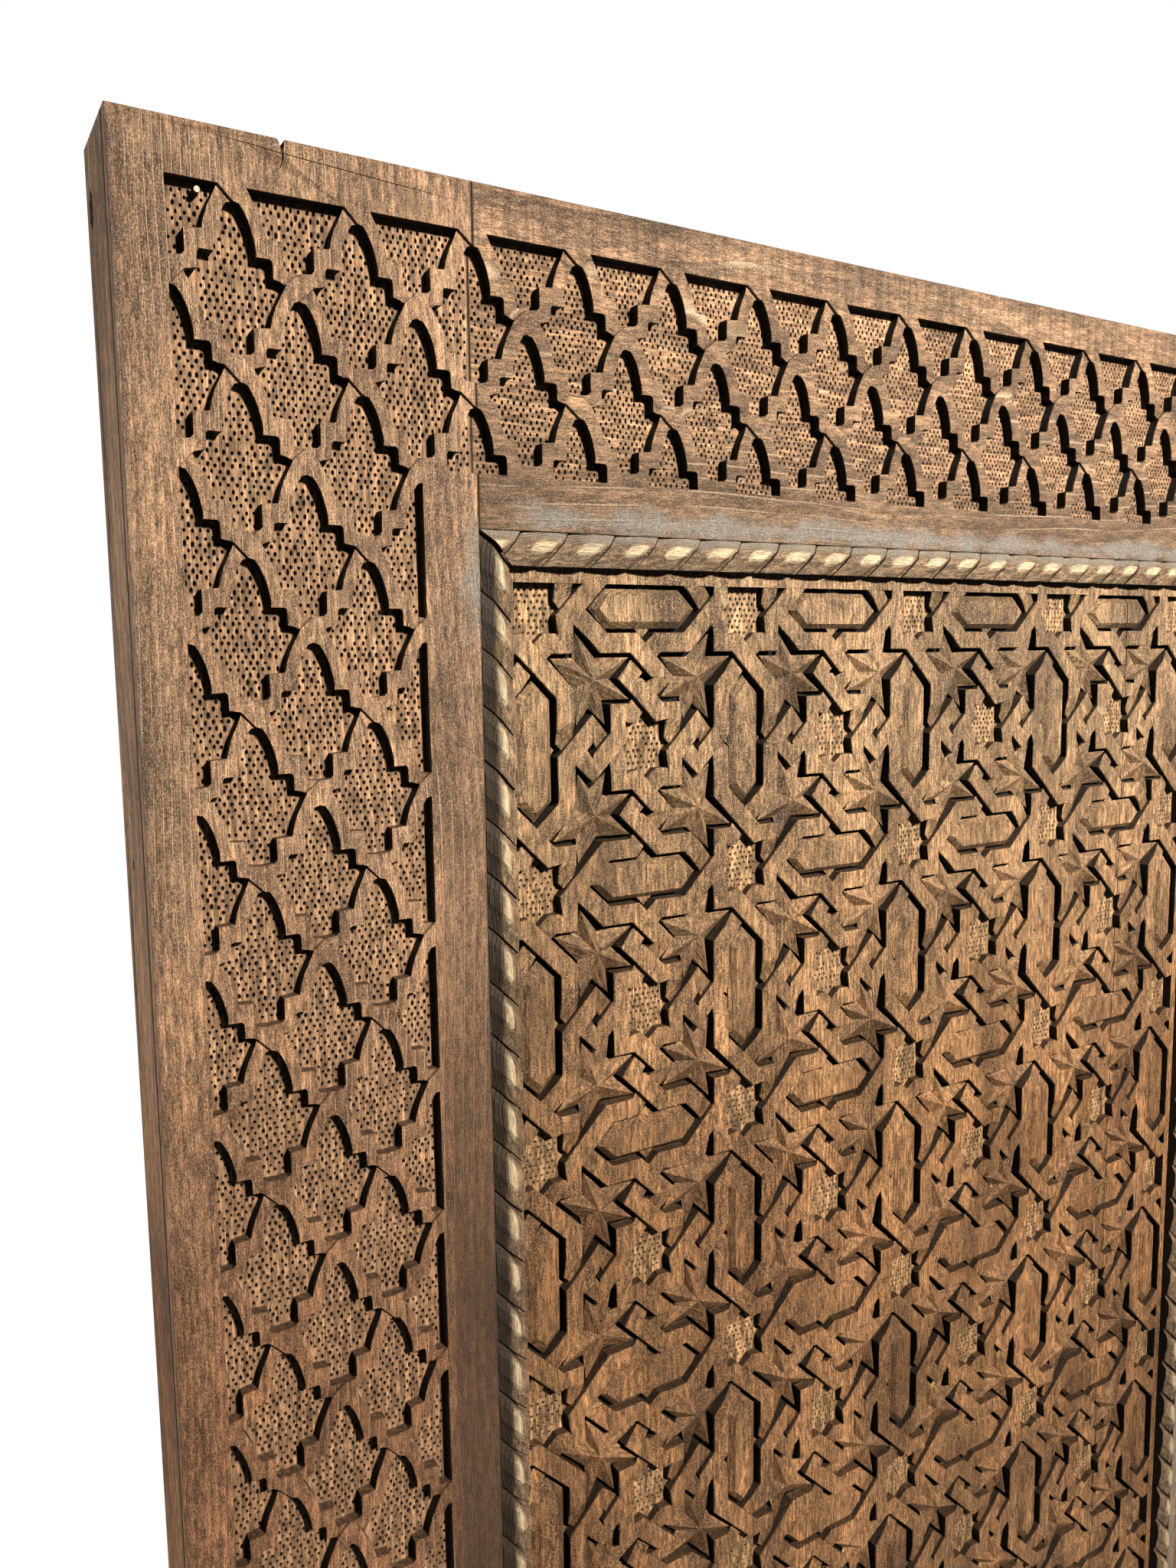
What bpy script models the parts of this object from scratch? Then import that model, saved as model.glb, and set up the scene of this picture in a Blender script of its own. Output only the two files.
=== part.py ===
# A carved door leaf: a framed field of boards. Metres, +Z up.
# The frame carries a net of leaf-shaped cells, the boards a star interlace,
# and four rope mouldings lie round the field.
# The front looks along -Y. The origin is the middle of the right edge.

import math

import bmesh
import bpy

# Frame
DOOR_WIDTH = 1.212
DOOR_HEIGHT = 1.953
FRAME_THICKNESS = 0.070
STILE_WIDTH = 0.207
TOP_RAIL_HEIGHT = 0.207
BOTTOM_RAIL_HEIGHT = 0.320
LIP_WIDTH = 0.012
JOINT_GAP = 0.0003

# Boards of the field: each one's share of the opening, from the left
BOARD_SHARES = (0.154, 0.358, 0.332, 0.156)
BOARD_THICKNESS = 0.034
BOARD_SETBACK = 0.007

# Rope mouldings: heights stand on the boards
ROPE_WIDTH = 0.022
ROPE_CREST_INSET = 0.0095
ROPE_OUTER_HEIGHT = 0.007
ROPE_CREST_HEIGHT = 0.014
ROPE_INNER_HEIGHT = 0.009
ROPE_TURN = 0.036
ROPE_CUT_DEPTH = 0.0045
ROPE_CUT_STEEP = 0.0015
ROPE_CUT_SLOPE = 0.0065

# Net of leaf cells on the frame
NET_DEPTH = 0.0085
NET_EDGE_MARGIN = 0.0278
NET_FIRST_TIP = 0.0379
NET_PITCH_DOWN = 0.0956
NET_STILE_PITCH = 0.0712
NET_RAIL_PITCH = 0.0744
LEAF_HALF_WIDTH = 0.0279
LEAF_SIDE_DROP = 0.0399
LEAF_FOOT_HALF_WIDTH = 0.009
LEAF_LENGTH = 0.080

# Star interlace on the boards
LACE_PITCH_ACROSS = 0.1775
LACE_PITCH_DOWN = 0.1897
LACE_LEFT_MARGIN = 0.0196
LACE_RIGHT_MARGIN = 0.0244
LACE_END_MARGIN = 0.0263
STRAP_WIDTH = 0.0137
STRAP_SQUARE_HALF = 0.0164
STRAP_CORNER_RUN = 0.0137
ROSETTE_HALF_SIDE = 0.0145
STAR_DEPTH = 0.009
LOZENGE_DEPTH = 0.008
ROSETTE_DEPTH = 0.010

# Chip out of the top edge of the left stile, and the peg in its first cell
CHIP_FROM_SIDE = 0.0915
CHIP_WIDTH = 0.005
CHIP_HEIGHT = 0.006
CHIP_DEPTH = 0.018
PEG_FROM_SIDE = 0.0446
PEG_FROM_TOP = 0.0355
PEG_RADIUS = 0.002
PEG_SIDES = 8

# How far a cutter stands proud of the face that it cuts
CUTTER_PROUD = 0.0005

FRAME_COLOUR = (0.150, 0.082, 0.044, 1.0)
ROPE_COLOUR = (0.172, 0.098, 0.054, 1.0)
BOARD_COLOUR = (0.198, 0.115, 0.062, 1.0)
PEG_COLOUR = (0.560, 0.440, 0.280, 1.0)
WOOD_ROUGHNESS = 0.62

# Places worked out from the sizes
LEFT = -DOOR_WIDTH
TOP = DOOR_HEIGHT / 2
BOTTOM = -DOOR_HEIGHT / 2
FRONT = -FRAME_THICKNESS / 2
BACK = FRAME_THICKNESS / 2
OPENING_LEFT = LEFT + STILE_WIDTH
OPENING_RIGHT = -STILE_WIDTH
OPENING_TOP = TOP - TOP_RAIL_HEIGHT
OPENING_BOTTOM = BOTTOM + BOTTOM_RAIL_HEIGHT
OPENING_WIDTH = OPENING_RIGHT - OPENING_LEFT
OPENING_HEIGHT = OPENING_TOP - OPENING_BOTTOM
FIELD_FRONT = FRONT + BOARD_SETBACK
LIP_FRONT = FIELD_FRONT + BOARD_THICKNESS + JOINT_GAP


def clear_scene():
    for item in list(bpy.data.objects):
        bpy.data.objects.remove(item, do_unlink=True)


def wood(name, colour):
    material = bpy.data.materials.new(name)
    material.use_nodes = True
    shader = material.node_tree.nodes["Principled BSDF"]
    shader.inputs["Base Color"].default_value = colour
    shader.inputs["Roughness"].default_value = WOOD_ROUGHNESS
    shader.inputs["Metallic"].default_value = 0.0
    material.diffuse_color = colour
    return material


def add_object(name, bm, material=None):
    bmesh.ops.recalc_face_normals(bm, faces=bm.faces)
    mesh = bpy.data.meshes.new(name)
    bm.to_mesh(mesh)
    bm.free()
    item = bpy.data.objects.new(name, mesh)
    bpy.context.collection.objects.link(item)
    if material:
        mesh.materials.append(material)
    return item


def add_box(bm, low, high):
    made = bmesh.ops.create_cube(bm, size=1.0)
    middle = [(a + b) / 2 for a, b in zip(low, high)]
    size = [b - a for a, b in zip(low, high)]
    bmesh.ops.scale(bm, vec=size, verts=made["verts"])
    bmesh.ops.translate(bm, vec=middle, verts=made["verts"])


def add_prism(bm, outline, front, back):
    # A closed prism on an outline of (x, z) points
    near = [bm.verts.new((x, front, z)) for x, z in outline]
    face = bm.faces.new(near)
    grown = bmesh.ops.extrude_face_region(bm, geom=[face])
    far = [part for part in grown["geom"] if isinstance(part, bmesh.types.BMVert)]
    bmesh.ops.translate(bm, vec=(0, back - front, 0), verts=far)


def add_pit(bm, outline, centre, face_y, depth):
    # An outline of (x, z) points that slopes in to one deepest point
    spread = 1 + CUTTER_PROUD / depth
    cx, cz = centre
    proud = face_y - CUTTER_PROUD
    rim = [bm.verts.new((cx + (x - cx) * spread, proud, cz + (z - cz) * spread)) for x, z in outline]
    bm.faces.new(rim)
    deepest = bm.verts.new((cx, face_y + depth, cz))
    for a, b in zip(rim, rim[1:] + rim[:1]):
        bm.faces.new((a, b, deepest))


def boolean(target, tool, operation):
    tool.hide_render = True
    tool.display_type = "WIRE"
    change = target.modifiers.new(tool.name, "BOOLEAN")
    change.operation = operation
    change.solver = "EXACT"
    change.object = tool


def clip(outline, axis, limit, keep_above):
    # The part of an outline on one side of a line across the axis
    sign = 1 if keep_above else -1
    kept = []
    for a, b in zip(outline, outline[1:] + outline[:1]):
        side_a = sign * (a[axis] - limit)
        side_b = sign * (b[axis] - limit)
        if side_a >= 0:
            kept.append(a)
        if side_a * side_b < 0:
            share = side_a / (side_a - side_b)
            kept.append((a[0] + (b[0] - a[0]) * share, a[1] + (b[1] - a[1]) * share))
    return kept


# The net: every cell hangs from its tip. Rows of tips alternate with rows
# that stand half a pitch aside and half a pitch higher.

def net_rows(length):
    # Whole pitches that fit down a band on a face of this length
    room = length - NET_FIRST_TIP - LEAF_SIDE_DROP
    return max(1, math.floor(room / NET_PITCH_DOWN))


def net_top():
    return NET_FIRST_TIP - NET_PITCH_DOWN / 2 + LEAF_SIDE_DROP


def net_bottom(rows):
    return NET_FIRST_TIP + rows * NET_PITCH_DOWN + LEAF_SIDE_DROP


def leaf(across, down, stretch):
    right = [(LEAF_HALF_WIDTH, LEAF_SIDE_DROP), (LEAF_FOOT_HALF_WIDTH, LEAF_LENGTH)]
    left = [(-x, z) for x, z in reversed(right)]
    return [(across + x * stretch, down + z) for x, z in [(0.0, 0.0)] + right + left]


def net_cells(columns, rows, left, right, bottom, stretch):
    # Cells as (across, down) outlines; columns holds (place, tips are raised)
    # and stretch widens the leaves with the pitch of their columns
    cells = []
    for across, raised in columns:
        for row in range(rows + 1):
            tip = NET_FIRST_TIP + (row - (0.5 if raised else 0.0)) * NET_PITCH_DOWN
            cell = clip(leaf(across, tip, stretch), 1, net_top(), True)
            cell = clip(cell, 1, bottom, False)
            cell = clip(cell, 0, left, True)
            cell = clip(cell, 0, right, False)
            cells.append(cell)
    return cells


STILE_ROWS = net_rows(DOOR_HEIGHT - BOTTOM_RAIL_HEIGHT)
RAIL_ROWS = net_rows(TOP_RAIL_HEIGHT)
STILE_BAND_RIGHT = STILE_WIDTH - NET_RAIL_PITCH / 2
STILE_COLUMNS = max(1, round((STILE_BAND_RIGHT - NET_EDGE_MARGIN) / NET_STILE_PITCH))
STILE_PITCH = (STILE_BAND_RIGHT - NET_EDGE_MARGIN) / STILE_COLUMNS


def stile_net(meets_rail):
    # Cells of one stile, measured in from its outer edge and down from the top
    places = [NET_EDGE_MARGIN + k * STILE_PITCH / 2 for k in range(2 * STILE_COLUMNS + 1)]
    columns = [(place, k % 2 == 0) for k, place in enumerate(places)]
    bottom = net_bottom(STILE_ROWS)
    left = NET_EDGE_MARGIN
    right = STILE_BAND_RIGHT
    stretch = STILE_PITCH / NET_STILE_PITCH
    cells = net_cells(columns, STILE_ROWS, left, right, bottom, stretch)
    if not meets_rail:
        return cells
    # The rail's band runs out over the joint: there the last column is whole
    past_joint = STILE_WIDTH + LEAF_HALF_WIDTH
    whole = net_cells(columns[-1:], RAIL_ROWS, left, past_joint, bottom, stretch)
    last_column = len(cells) - (STILE_ROWS + 1)
    cells[last_column:last_column + len(whole)] = whole
    on_joint = [(STILE_WIDTH, False)]
    cells += net_cells(on_joint, RAIL_ROWS, left, past_joint, net_bottom(RAIL_ROWS), 1.0)
    return cells


def rail_net():
    # Cells of the top rail, measured from the left joint and down from the top
    steps = 2 * math.floor(OPENING_WIDTH / NET_RAIL_PITCH - 0.5) + 1
    columns = [(k * NET_RAIL_PITCH / 2, k % 2 == 1) for k in range(steps + 1)]
    end = steps * NET_RAIL_PITCH / 2
    return net_cells(columns, RAIL_ROWS, -LEAF_HALF_WIDTH, end, net_bottom(RAIL_ROWS), 1.0)


def carve_net(target, cells, start, direction):
    bm = bmesh.new()
    for cell in cells:
        outline = [(start + direction * across, TOP - down) for across, down in cell]
        add_prism(bm, outline, FRONT - CUTTER_PROUD, FRONT + NET_DEPTH)
    cutter = add_object(target.name + "_net_cutter", bm)
    boolean(target, cutter, "DIFFERENCE")


# The frame: the boards drop in from the front against a lip at the back

def add_stile(name, outer, direction, material):
    # direction is 1 for the left stile and -1 for the right one
    inner = outer + direction * STILE_WIDTH
    bm = bmesh.new()
    add_box(bm, (min(outer, inner), FRONT, BOTTOM), (max(outer, inner), BACK, TOP))
    stile = add_object(name, bm, material)
    lip_edges = (inner - direction * LIP_WIDTH, inner + direction * LIP_WIDTH)
    bm = bmesh.new()
    low = (min(lip_edges), LIP_FRONT, OPENING_BOTTOM + JOINT_GAP)
    high = (max(lip_edges), BACK, OPENING_TOP - JOINT_GAP)
    add_box(bm, low, high)
    boolean(stile, add_object(name + "_lip", bm), "UNION")
    return stile


def add_rail(name, outer, inner, material):
    bm = bmesh.new()
    low = (OPENING_LEFT + JOINT_GAP, FRONT, min(outer, inner))
    high = (OPENING_RIGHT - JOINT_GAP, BACK, max(outer, inner))
    add_box(bm, low, high)
    rail = add_object(name, bm, material)
    inset = LIP_WIDTH + JOINT_GAP
    bm = bmesh.new()
    low = (OPENING_LEFT + inset, LIP_FRONT, inner - LIP_WIDTH)
    high = (OPENING_RIGHT - inset, BACK, inner + LIP_WIDTH)
    add_box(bm, low, high)
    boolean(rail, add_object(name + "_lip", bm), "UNION")
    return rail


def chip_top_edge(stile):
    middle = LEFT + CHIP_FROM_SIDE
    outline = [
        (middle - CHIP_WIDTH, TOP + CHIP_HEIGHT),
        (middle + CHIP_WIDTH, TOP + CHIP_HEIGHT),
        (middle, TOP - CHIP_HEIGHT),
    ]
    bm = bmesh.new()
    add_prism(bm, outline, FRONT - CUTTER_PROUD, FRONT + CHIP_DEPTH)
    boolean(stile, add_object("chip_cutter", bm), "DIFFERENCE")


def add_peg(material):
    # The peg stands on the floor of the cell and ends level with the frame
    floor = FRONT + NET_DEPTH - JOINT_GAP
    x = LEFT + PEG_FROM_SIDE
    z = TOP - PEG_FROM_TOP
    outline = []
    for k in range(PEG_SIDES):
        turn = 2 * math.pi * (k + 0.5) / PEG_SIDES
        outline.append((x + PEG_RADIUS * math.cos(turn), z + PEG_RADIUS * math.sin(turn)))
    bm = bmesh.new()
    add_prism(bm, outline, FRONT, floor)
    add_object("peg", bm, material)


# The interlace: square rosettes stand on a lattice and in the middle of its
# meshes, lozenges lie between them and four stars fill each mesh.

LACE_LEFT = OPENING_LEFT + ROPE_WIDTH + LACE_LEFT_MARGIN
LACE_RIGHT = OPENING_RIGHT - ROPE_WIDTH - LACE_RIGHT_MARGIN
LACE_TOP = OPENING_TOP - ROPE_WIDTH - LACE_END_MARGIN
LACE_BOTTOM = OPENING_BOTTOM + ROPE_WIDTH + LACE_END_MARGIN
LACE_COLUMNS = max(1, round((LACE_RIGHT - LACE_LEFT) / LACE_PITCH_ACROSS))
LACE_ROWS = max(1, round((LACE_TOP - LACE_BOTTOM) / LACE_PITCH_DOWN))
HALF_MESH_ACROSS = (LACE_RIGHT - LACE_LEFT) / LACE_COLUMNS / 2
HALF_MESH_DOWN = (LACE_TOP - LACE_BOTTOM) / LACE_ROWS / 2
STRAP_AXIS = STRAP_SQUARE_HALF + STRAP_WIDTH / 2
STRAP_SLANT = STRAP_WIDTH / math.sqrt(2)
CROSSING_ACROSS = HALF_MESH_ACROSS / 2 - STRAP_CORNER_RUN
CROSSING_DOWN = HALF_MESH_DOWN / 2 - STRAP_CORNER_RUN
LOZENGE_ACROSS = HALF_MESH_ACROSS - CROSSING_ACROSS - STRAP_SLANT
LOZENGE_DOWN = HALF_MESH_DOWN - CROSSING_DOWN - STRAP_SLANT


def star_outline():
    # The star right of and below a rosette, as (across, down) from its middle:
    # tips at the straps' crossings and notches at their bends by turns
    near = STRAP_AXIS + STRAP_WIDTH / 2
    far_x = HALF_MESH_ACROSS
    far_z = HALF_MESH_DOWN
    cross_x = CROSSING_ACROSS
    cross_z = CROSSING_DOWN
    slant = STRAP_SLANT
    bend = STRAP_CORNER_RUN + STRAP_SLANT
    return [
        (cross_x, slant),
        (near + cross_x - slant, near),
        (far_x - slant, cross_z),
        (far_x - bend, far_z / 2),
        (far_x - slant, far_z - cross_z),
        (far_x - near, far_z - near),
        (far_x - cross_x, far_z - slant),
        (far_x / 2, far_z - bend),
        (cross_x, far_z - slant),
        (near, near + cross_z - slant),
        (slant, cross_z),
        (near, near),
    ]


def middle_of(points):
    return sum(p[0] for p in points) / len(points), sum(p[1] for p in points) / len(points)


def add_star(bm, x, z, side, rise):
    outline = [(x + side * across, z + rise * down) for across, down in star_outline()]
    notches = outline[1::2]
    add_pit(bm, outline, middle_of(notches), FIELD_FRONT, STAR_DEPTH)


def add_lozenge(bm, x, z, half_length, upright):
    # A hollow with sloping sides and ends, deepest along a line on its axis
    spread = 1 + CUTTER_PROUD / LOZENGE_DEPTH
    half_width = STRAP_SQUARE_HALF
    shoulder = half_length - half_width
    tip = shoulder + half_width * spread
    side = half_width * spread
    rim = [(tip, 0), (shoulder, side), (-shoulder, side), (-tip, 0), (-shoulder, -side), (shoulder, -side)]

    def place(point, y):
        along, off = point
        return (x + off, y, z + along) if upright else (x + along, y, z + off)

    edge = [bm.verts.new(place(point, FIELD_FRONT - CUTTER_PROUD)) for point in rim]
    ends = [bm.verts.new(place((end, 0), FIELD_FRONT + LOZENGE_DEPTH)) for end in (shoulder, -shoulder)]
    bm.faces.new(edge)
    bm.faces.new((edge[0], edge[1], ends[0]))
    bm.faces.new((edge[1], edge[2], ends[1], ends[0]))
    bm.faces.new((edge[2], edge[3], ends[1]))
    bm.faces.new((edge[3], edge[4], ends[1]))
    bm.faces.new((edge[4], edge[5], ends[0], ends[1]))
    bm.faces.new((edge[5], edge[0], ends[0]))


def add_rosette(bm, x, z):
    half = ROSETTE_HALF_SIDE
    outline = [(x - half, z - half), (x + half, z - half), (x + half, z + half), (x - half, z + half)]
    add_pit(bm, outline, (x, z), FIELD_FRONT, ROSETTE_DEPTH)


def carve_lace(board, left, right):
    # Only the pits that reach between the board's two edges
    bm = bmesh.new()

    def reaches(x, half_width):
        return x + half_width > left and x - half_width < right

    star_reach = [across for across, down in star_outline()]
    for column in range(LACE_COLUMNS + 1):
        for row in range(LACE_ROWS + 1):
            x = LACE_LEFT + 2 * column * HALF_MESH_ACROSS
            z = LACE_TOP - 2 * row * HALF_MESH_DOWN
            mid_x = x + HALF_MESH_ACROSS
            mid_z = z - HALF_MESH_DOWN
            inside_x = column < LACE_COLUMNS
            inside_z = row < LACE_ROWS
            if reaches(x, ROSETTE_HALF_SIDE):
                add_rosette(bm, x, z)
            if inside_x and reaches(mid_x, LOZENGE_ACROSS):
                add_lozenge(bm, mid_x, z, LOZENGE_ACROSS, False)
            if inside_z and reaches(x, STRAP_SQUARE_HALF):
                add_lozenge(bm, x, mid_z, LOZENGE_DOWN, True)
            if inside_x and inside_z and reaches(mid_x, ROSETTE_HALF_SIDE):
                add_rosette(bm, mid_x, mid_z)
            for side in (1, -1):
                middle = x + side * (min(star_reach) + max(star_reach)) / 2
                within = inside_x if side == 1 else column > 0
                if not within or not reaches(middle, (max(star_reach) - min(star_reach)) / 2):
                    continue
                if inside_z:
                    add_star(bm, x, z, side, -1)
                if row > 0:
                    add_star(bm, x, z, side, 1)
    cutter = add_object(board.name + "_lace_cutter", bm)
    boolean(board, cutter, "DIFFERENCE")


def add_boards(material):
    edge = OPENING_LEFT
    for number, share in enumerate(BOARD_SHARES, start=1):
        next_edge = edge + share / sum(BOARD_SHARES) * OPENING_WIDTH
        left = edge + JOINT_GAP / 2
        right = next_edge - JOINT_GAP / 2
        if number == 1:
            left = edge + JOINT_GAP
        if number == len(BOARD_SHARES):
            right = next_edge - JOINT_GAP
        bm = bmesh.new()
        low = (left, FIELD_FRONT, OPENING_BOTTOM + JOINT_GAP)
        high = (right, FIELD_FRONT + BOARD_THICKNESS, OPENING_TOP - JOINT_GAP)
        add_box(bm, low, high)
        board = add_object(f"board_{number}", bm, material)
        carve_lace(board, left, right)
        edge = next_edge


# The rope mouldings: a ridged strip, mitred at the corners, with slanting
# cuts across its crest. Along is measured from the middle of a strip.

def rope_section():
    # (in from the opening's edge, out from the boards)
    return [
        (JOINT_GAP, JOINT_GAP),
        (JOINT_GAP, ROPE_OUTER_HEIGHT),
        (ROPE_CREST_INSET, ROPE_CREST_HEIGHT),
        (ROPE_WIDTH, ROPE_INNER_HEIGHT),
        (ROPE_WIDTH, JOINT_GAP),
    ]


def add_rope(name, length, place, lean, material):
    # place turns (along, inset, height) into a point of the door, and lean is
    # how far a cut runs along the strip for each step in from its outer edge
    bm = bmesh.new()
    ends = []
    for end in (-1, 1):
        points = []
        for inset, height in rope_section():
            along = end * (length / 2 - inset - JOINT_GAP)
            points.append(bm.verts.new(place(along, inset, height)))
        bm.faces.new(points)
        ends.append(points)
    count = len(rope_section())
    for k in range(count):
        after = (k + 1) % count
        bm.faces.new((ends[0][k], ends[0][after], ends[1][after], ends[1][k]))
    rope = add_object(name, bm, material)

    cuts = bmesh.new()
    turns = max(1, math.floor((length - 2 * ROPE_WIDTH) / ROPE_TURN))
    cut_floor = ROPE_CREST_HEIGHT - ROPE_CUT_DEPTH
    proud = ROPE_CREST_HEIGHT + CUTTER_PROUD
    grow = 1 + CUTTER_PROUD / ROPE_CUT_DEPTH
    for turn in range(turns):
        middle = (turn - (turns - 1) / 2) * ROPE_TURN
        section = [(0.0, cut_floor), (-ROPE_CUT_STEEP * grow, proud), (ROPE_CUT_SLOPE * grow, proud)]
        loops = []
        for inset in (-ROPE_WIDTH, 2 * ROPE_WIDTH):
            slide = middle + lean * (inset - ROPE_CREST_INSET)
            loops.append([cuts.verts.new(place(slide + a, inset, h)) for a, h in section])
        cuts.faces.new(loops[0])
        cuts.faces.new(loops[1])
        for k in range(3):
            after = (k + 1) % 3
            cuts.faces.new((loops[0][k], loops[0][after], loops[1][after], loops[1][k]))
    boolean(rope, add_object(name + "_cutter", cuts), "DIFFERENCE")


def add_ropes(material):
    middle_x = (OPENING_LEFT + OPENING_RIGHT) / 2
    middle_z = (OPENING_TOP + OPENING_BOTTOM) / 2

    def on_top(along, inset, height):
        return middle_x + along, FIELD_FRONT - height, OPENING_TOP - inset

    def on_bottom(along, inset, height):
        return middle_x + along, FIELD_FRONT - height, OPENING_BOTTOM + inset

    def on_left(along, inset, height):
        return OPENING_LEFT + inset, FIELD_FRONT - height, middle_z + along

    def on_right(along, inset, height):
        return OPENING_RIGHT - inset, FIELD_FRONT - height, middle_z + along

    add_rope("moulding_top", OPENING_WIDTH, on_top, -1, material)
    add_rope("moulding_bottom", OPENING_WIDTH, on_bottom, 1, material)
    add_rope("moulding_left", OPENING_HEIGHT, on_left, -1, material)
    add_rope("moulding_right", OPENING_HEIGHT, on_right, 1, material)


def build():
    clear_scene()
    frame_wood = wood("frame wood", FRAME_COLOUR)
    rope_wood = wood("rope wood", ROPE_COLOUR)
    board_wood = wood("board wood", BOARD_COLOUR)
    peg_wood = wood("peg wood", PEG_COLOUR)

    stile_left = add_stile("stile_left", LEFT, 1, frame_wood)
    stile_right = add_stile("stile_right", 0.0, -1, frame_wood)
    rail_top = add_rail("rail_top", TOP, OPENING_TOP, frame_wood)
    add_rail("rail_bottom", BOTTOM, OPENING_BOTTOM, frame_wood)
    carve_net(stile_left, stile_net(True), LEFT, 1)
    carve_net(stile_right, stile_net(False), 0.0, -1)
    carve_net(rail_top, rail_net(), OPENING_LEFT, 1)
    chip_top_edge(stile_left)
    add_boards(board_wood)
    add_ropes(rope_wood)
    add_peg(peg_wood)


build()
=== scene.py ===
# The look of a carved door leaf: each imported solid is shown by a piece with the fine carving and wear.
import math
import random

import bmesh
import bpy
from mathutils import Matrix, Vector, noise
from mathutils.geometry import delaunay_2d_cdt


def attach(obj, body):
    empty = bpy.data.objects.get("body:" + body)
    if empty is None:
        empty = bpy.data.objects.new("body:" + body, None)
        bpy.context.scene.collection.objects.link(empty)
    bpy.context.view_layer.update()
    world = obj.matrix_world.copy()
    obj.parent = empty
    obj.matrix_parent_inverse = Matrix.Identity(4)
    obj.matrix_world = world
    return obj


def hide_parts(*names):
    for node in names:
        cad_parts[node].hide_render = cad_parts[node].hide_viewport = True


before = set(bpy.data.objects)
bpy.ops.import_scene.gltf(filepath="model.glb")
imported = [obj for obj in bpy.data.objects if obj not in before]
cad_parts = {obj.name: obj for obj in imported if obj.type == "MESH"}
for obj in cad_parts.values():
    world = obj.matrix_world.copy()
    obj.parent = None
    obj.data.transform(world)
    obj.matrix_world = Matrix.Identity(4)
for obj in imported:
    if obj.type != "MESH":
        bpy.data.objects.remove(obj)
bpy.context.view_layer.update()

mm = 0.001
noise.seed_set(4)  # so that the unevenness of the hand work is the same each run

# Whole door, in metres; the origin is the middle of its right edge
door = {
    "width": 1.212, "height": 1.953, "thickness": 0.070, "stile": 0.207,
    "topRail": 0.207, "bottomRail": 0.320, "lip": 0.012, "gap": 0.0003,
    "boardSetback": 0.007, "boardThickness": 0.034,
}
gap = door["gap"]
doorLeft, doorTop, doorBottom = -door["width"], door["height"] / 2, -door["height"] / 2
frontY, backY = -door["thickness"] / 2, door["thickness"] / 2
openLeft, openRight = doorLeft + door["stile"], -door["stile"]
openTop, openBottom = doorTop - door["topRail"], doorBottom + door["bottomRail"]
fieldY = frontY + door["boardSetback"]
lipY = fieldY + door["boardThickness"] + gap


# Small helpers for outlines of (x, z) points


def sides(loop):
    return zip(loop, loop[1:] + loop[:1])


def signedArea(loop):
    return sum(a[0] * b[1] - b[0] * a[1] for a, b in sides(loop)) / 2


def turned(loop):
    return list(loop) if signedArea(loop) > 0 else list(reversed(loop))


def clipped(loop, axis, low, high):
    # What lies between two limits of x (axis 0) or z (axis 1)
    for sign, limit in ((1, low), (-1, high)):
        kept = []
        for a, b in sides(loop):
            sideA, sideB = sign * (a[axis] - limit), sign * (b[axis] - limit)
            if sideA >= 0:
                kept.append(a)
            if sideA * sideB < 0:
                share = sideA / (sideA - sideB)
                kept.append((a[0] + (b[0] - a[0]) * share, a[1] + (b[1] - a[1]) * share))
        loop = kept
    return loop


def within(loop, x, z):
    inside = False
    for a, b in sides(loop):
        if (a[1] > z) != (b[1] > z) and x < a[0] + (z - a[1]) / (b[1] - a[1]) * (b[0] - a[0]):
            inside = not inside
    return inside


def lineDistance(a, b, x, z):
    dx, dz = b[0] - a[0], b[1] - a[1]
    share = ((x - a[0]) * dx + (z - a[1]) * dz) / max(dx * dx + dz * dz, 1e-12)
    share = min(1, max(0, share))
    return math.hypot(x - a[0] - share * dx, z - a[1] - share * dz)


def rimDistance(loop, x, z):
    return min(lineDistance(a, b, x, z) for a, b in sides(loop))


def loopMiddle(loop):
    return (min(p[0] for p in loop) + max(p[0] for p in loop)) / 2


def swollen(loop, grow):
    cx = sum(p[0] for p in loop) / len(loop)
    cz = sum(p[1] for p in loop) / len(loop)
    return [(cx + (x - cx) * grow, cz + (z - cz) * grow) for x, z in loop]


# Small helpers for meshes

def addBox(bm, low, high):
    made = bmesh.ops.create_cube(bm, size=1.0)["verts"]
    bmesh.ops.scale(bm, vec=[b - a for a, b in zip(low, high)], verts=made)
    bmesh.ops.translate(bm, vec=[(a + b) / 2 for a, b in zip(low, high)], verts=made)
    return made


def addSheet(bm, across, along, place):
    # A grid of points, each put where place(i, j) says
    made = bmesh.ops.create_grid(bm, x_segments=across - 1, y_segments=along - 1, size=1.0)["verts"]
    for index, vert in enumerate(made):
        vert.co = place(index % across, index // across)
    return made


def vertsOf(made):
    return [part for part in made["geom"] if isinstance(part, bmesh.types.BMVert)]


def thickened(bm, faces, backTo):
    # Closes a sheet of faces into a body that reaches back to one plane
    grown = bmesh.ops.extrude_face_region(bm, geom=faces)
    for vert in vertsOf(grown):
        vert.co.y = backTo
    return grown


def merged(target, source, matrix=None, again=False):
    # Adds one mesh to another, and frees it unless it is used again
    mesh = bpy.data.meshes.new("part")
    source.to_mesh(mesh)
    if matrix is not None:
        mesh.transform(matrix)
    target.from_mesh(mesh)
    bpy.data.meshes.remove(mesh)
    if not again:
        source.free()


def dropLoose(bm):
    bmesh.ops.delete(bm, geom=[v for v in bm.verts if not v.link_faces], context="VERTS")


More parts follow.
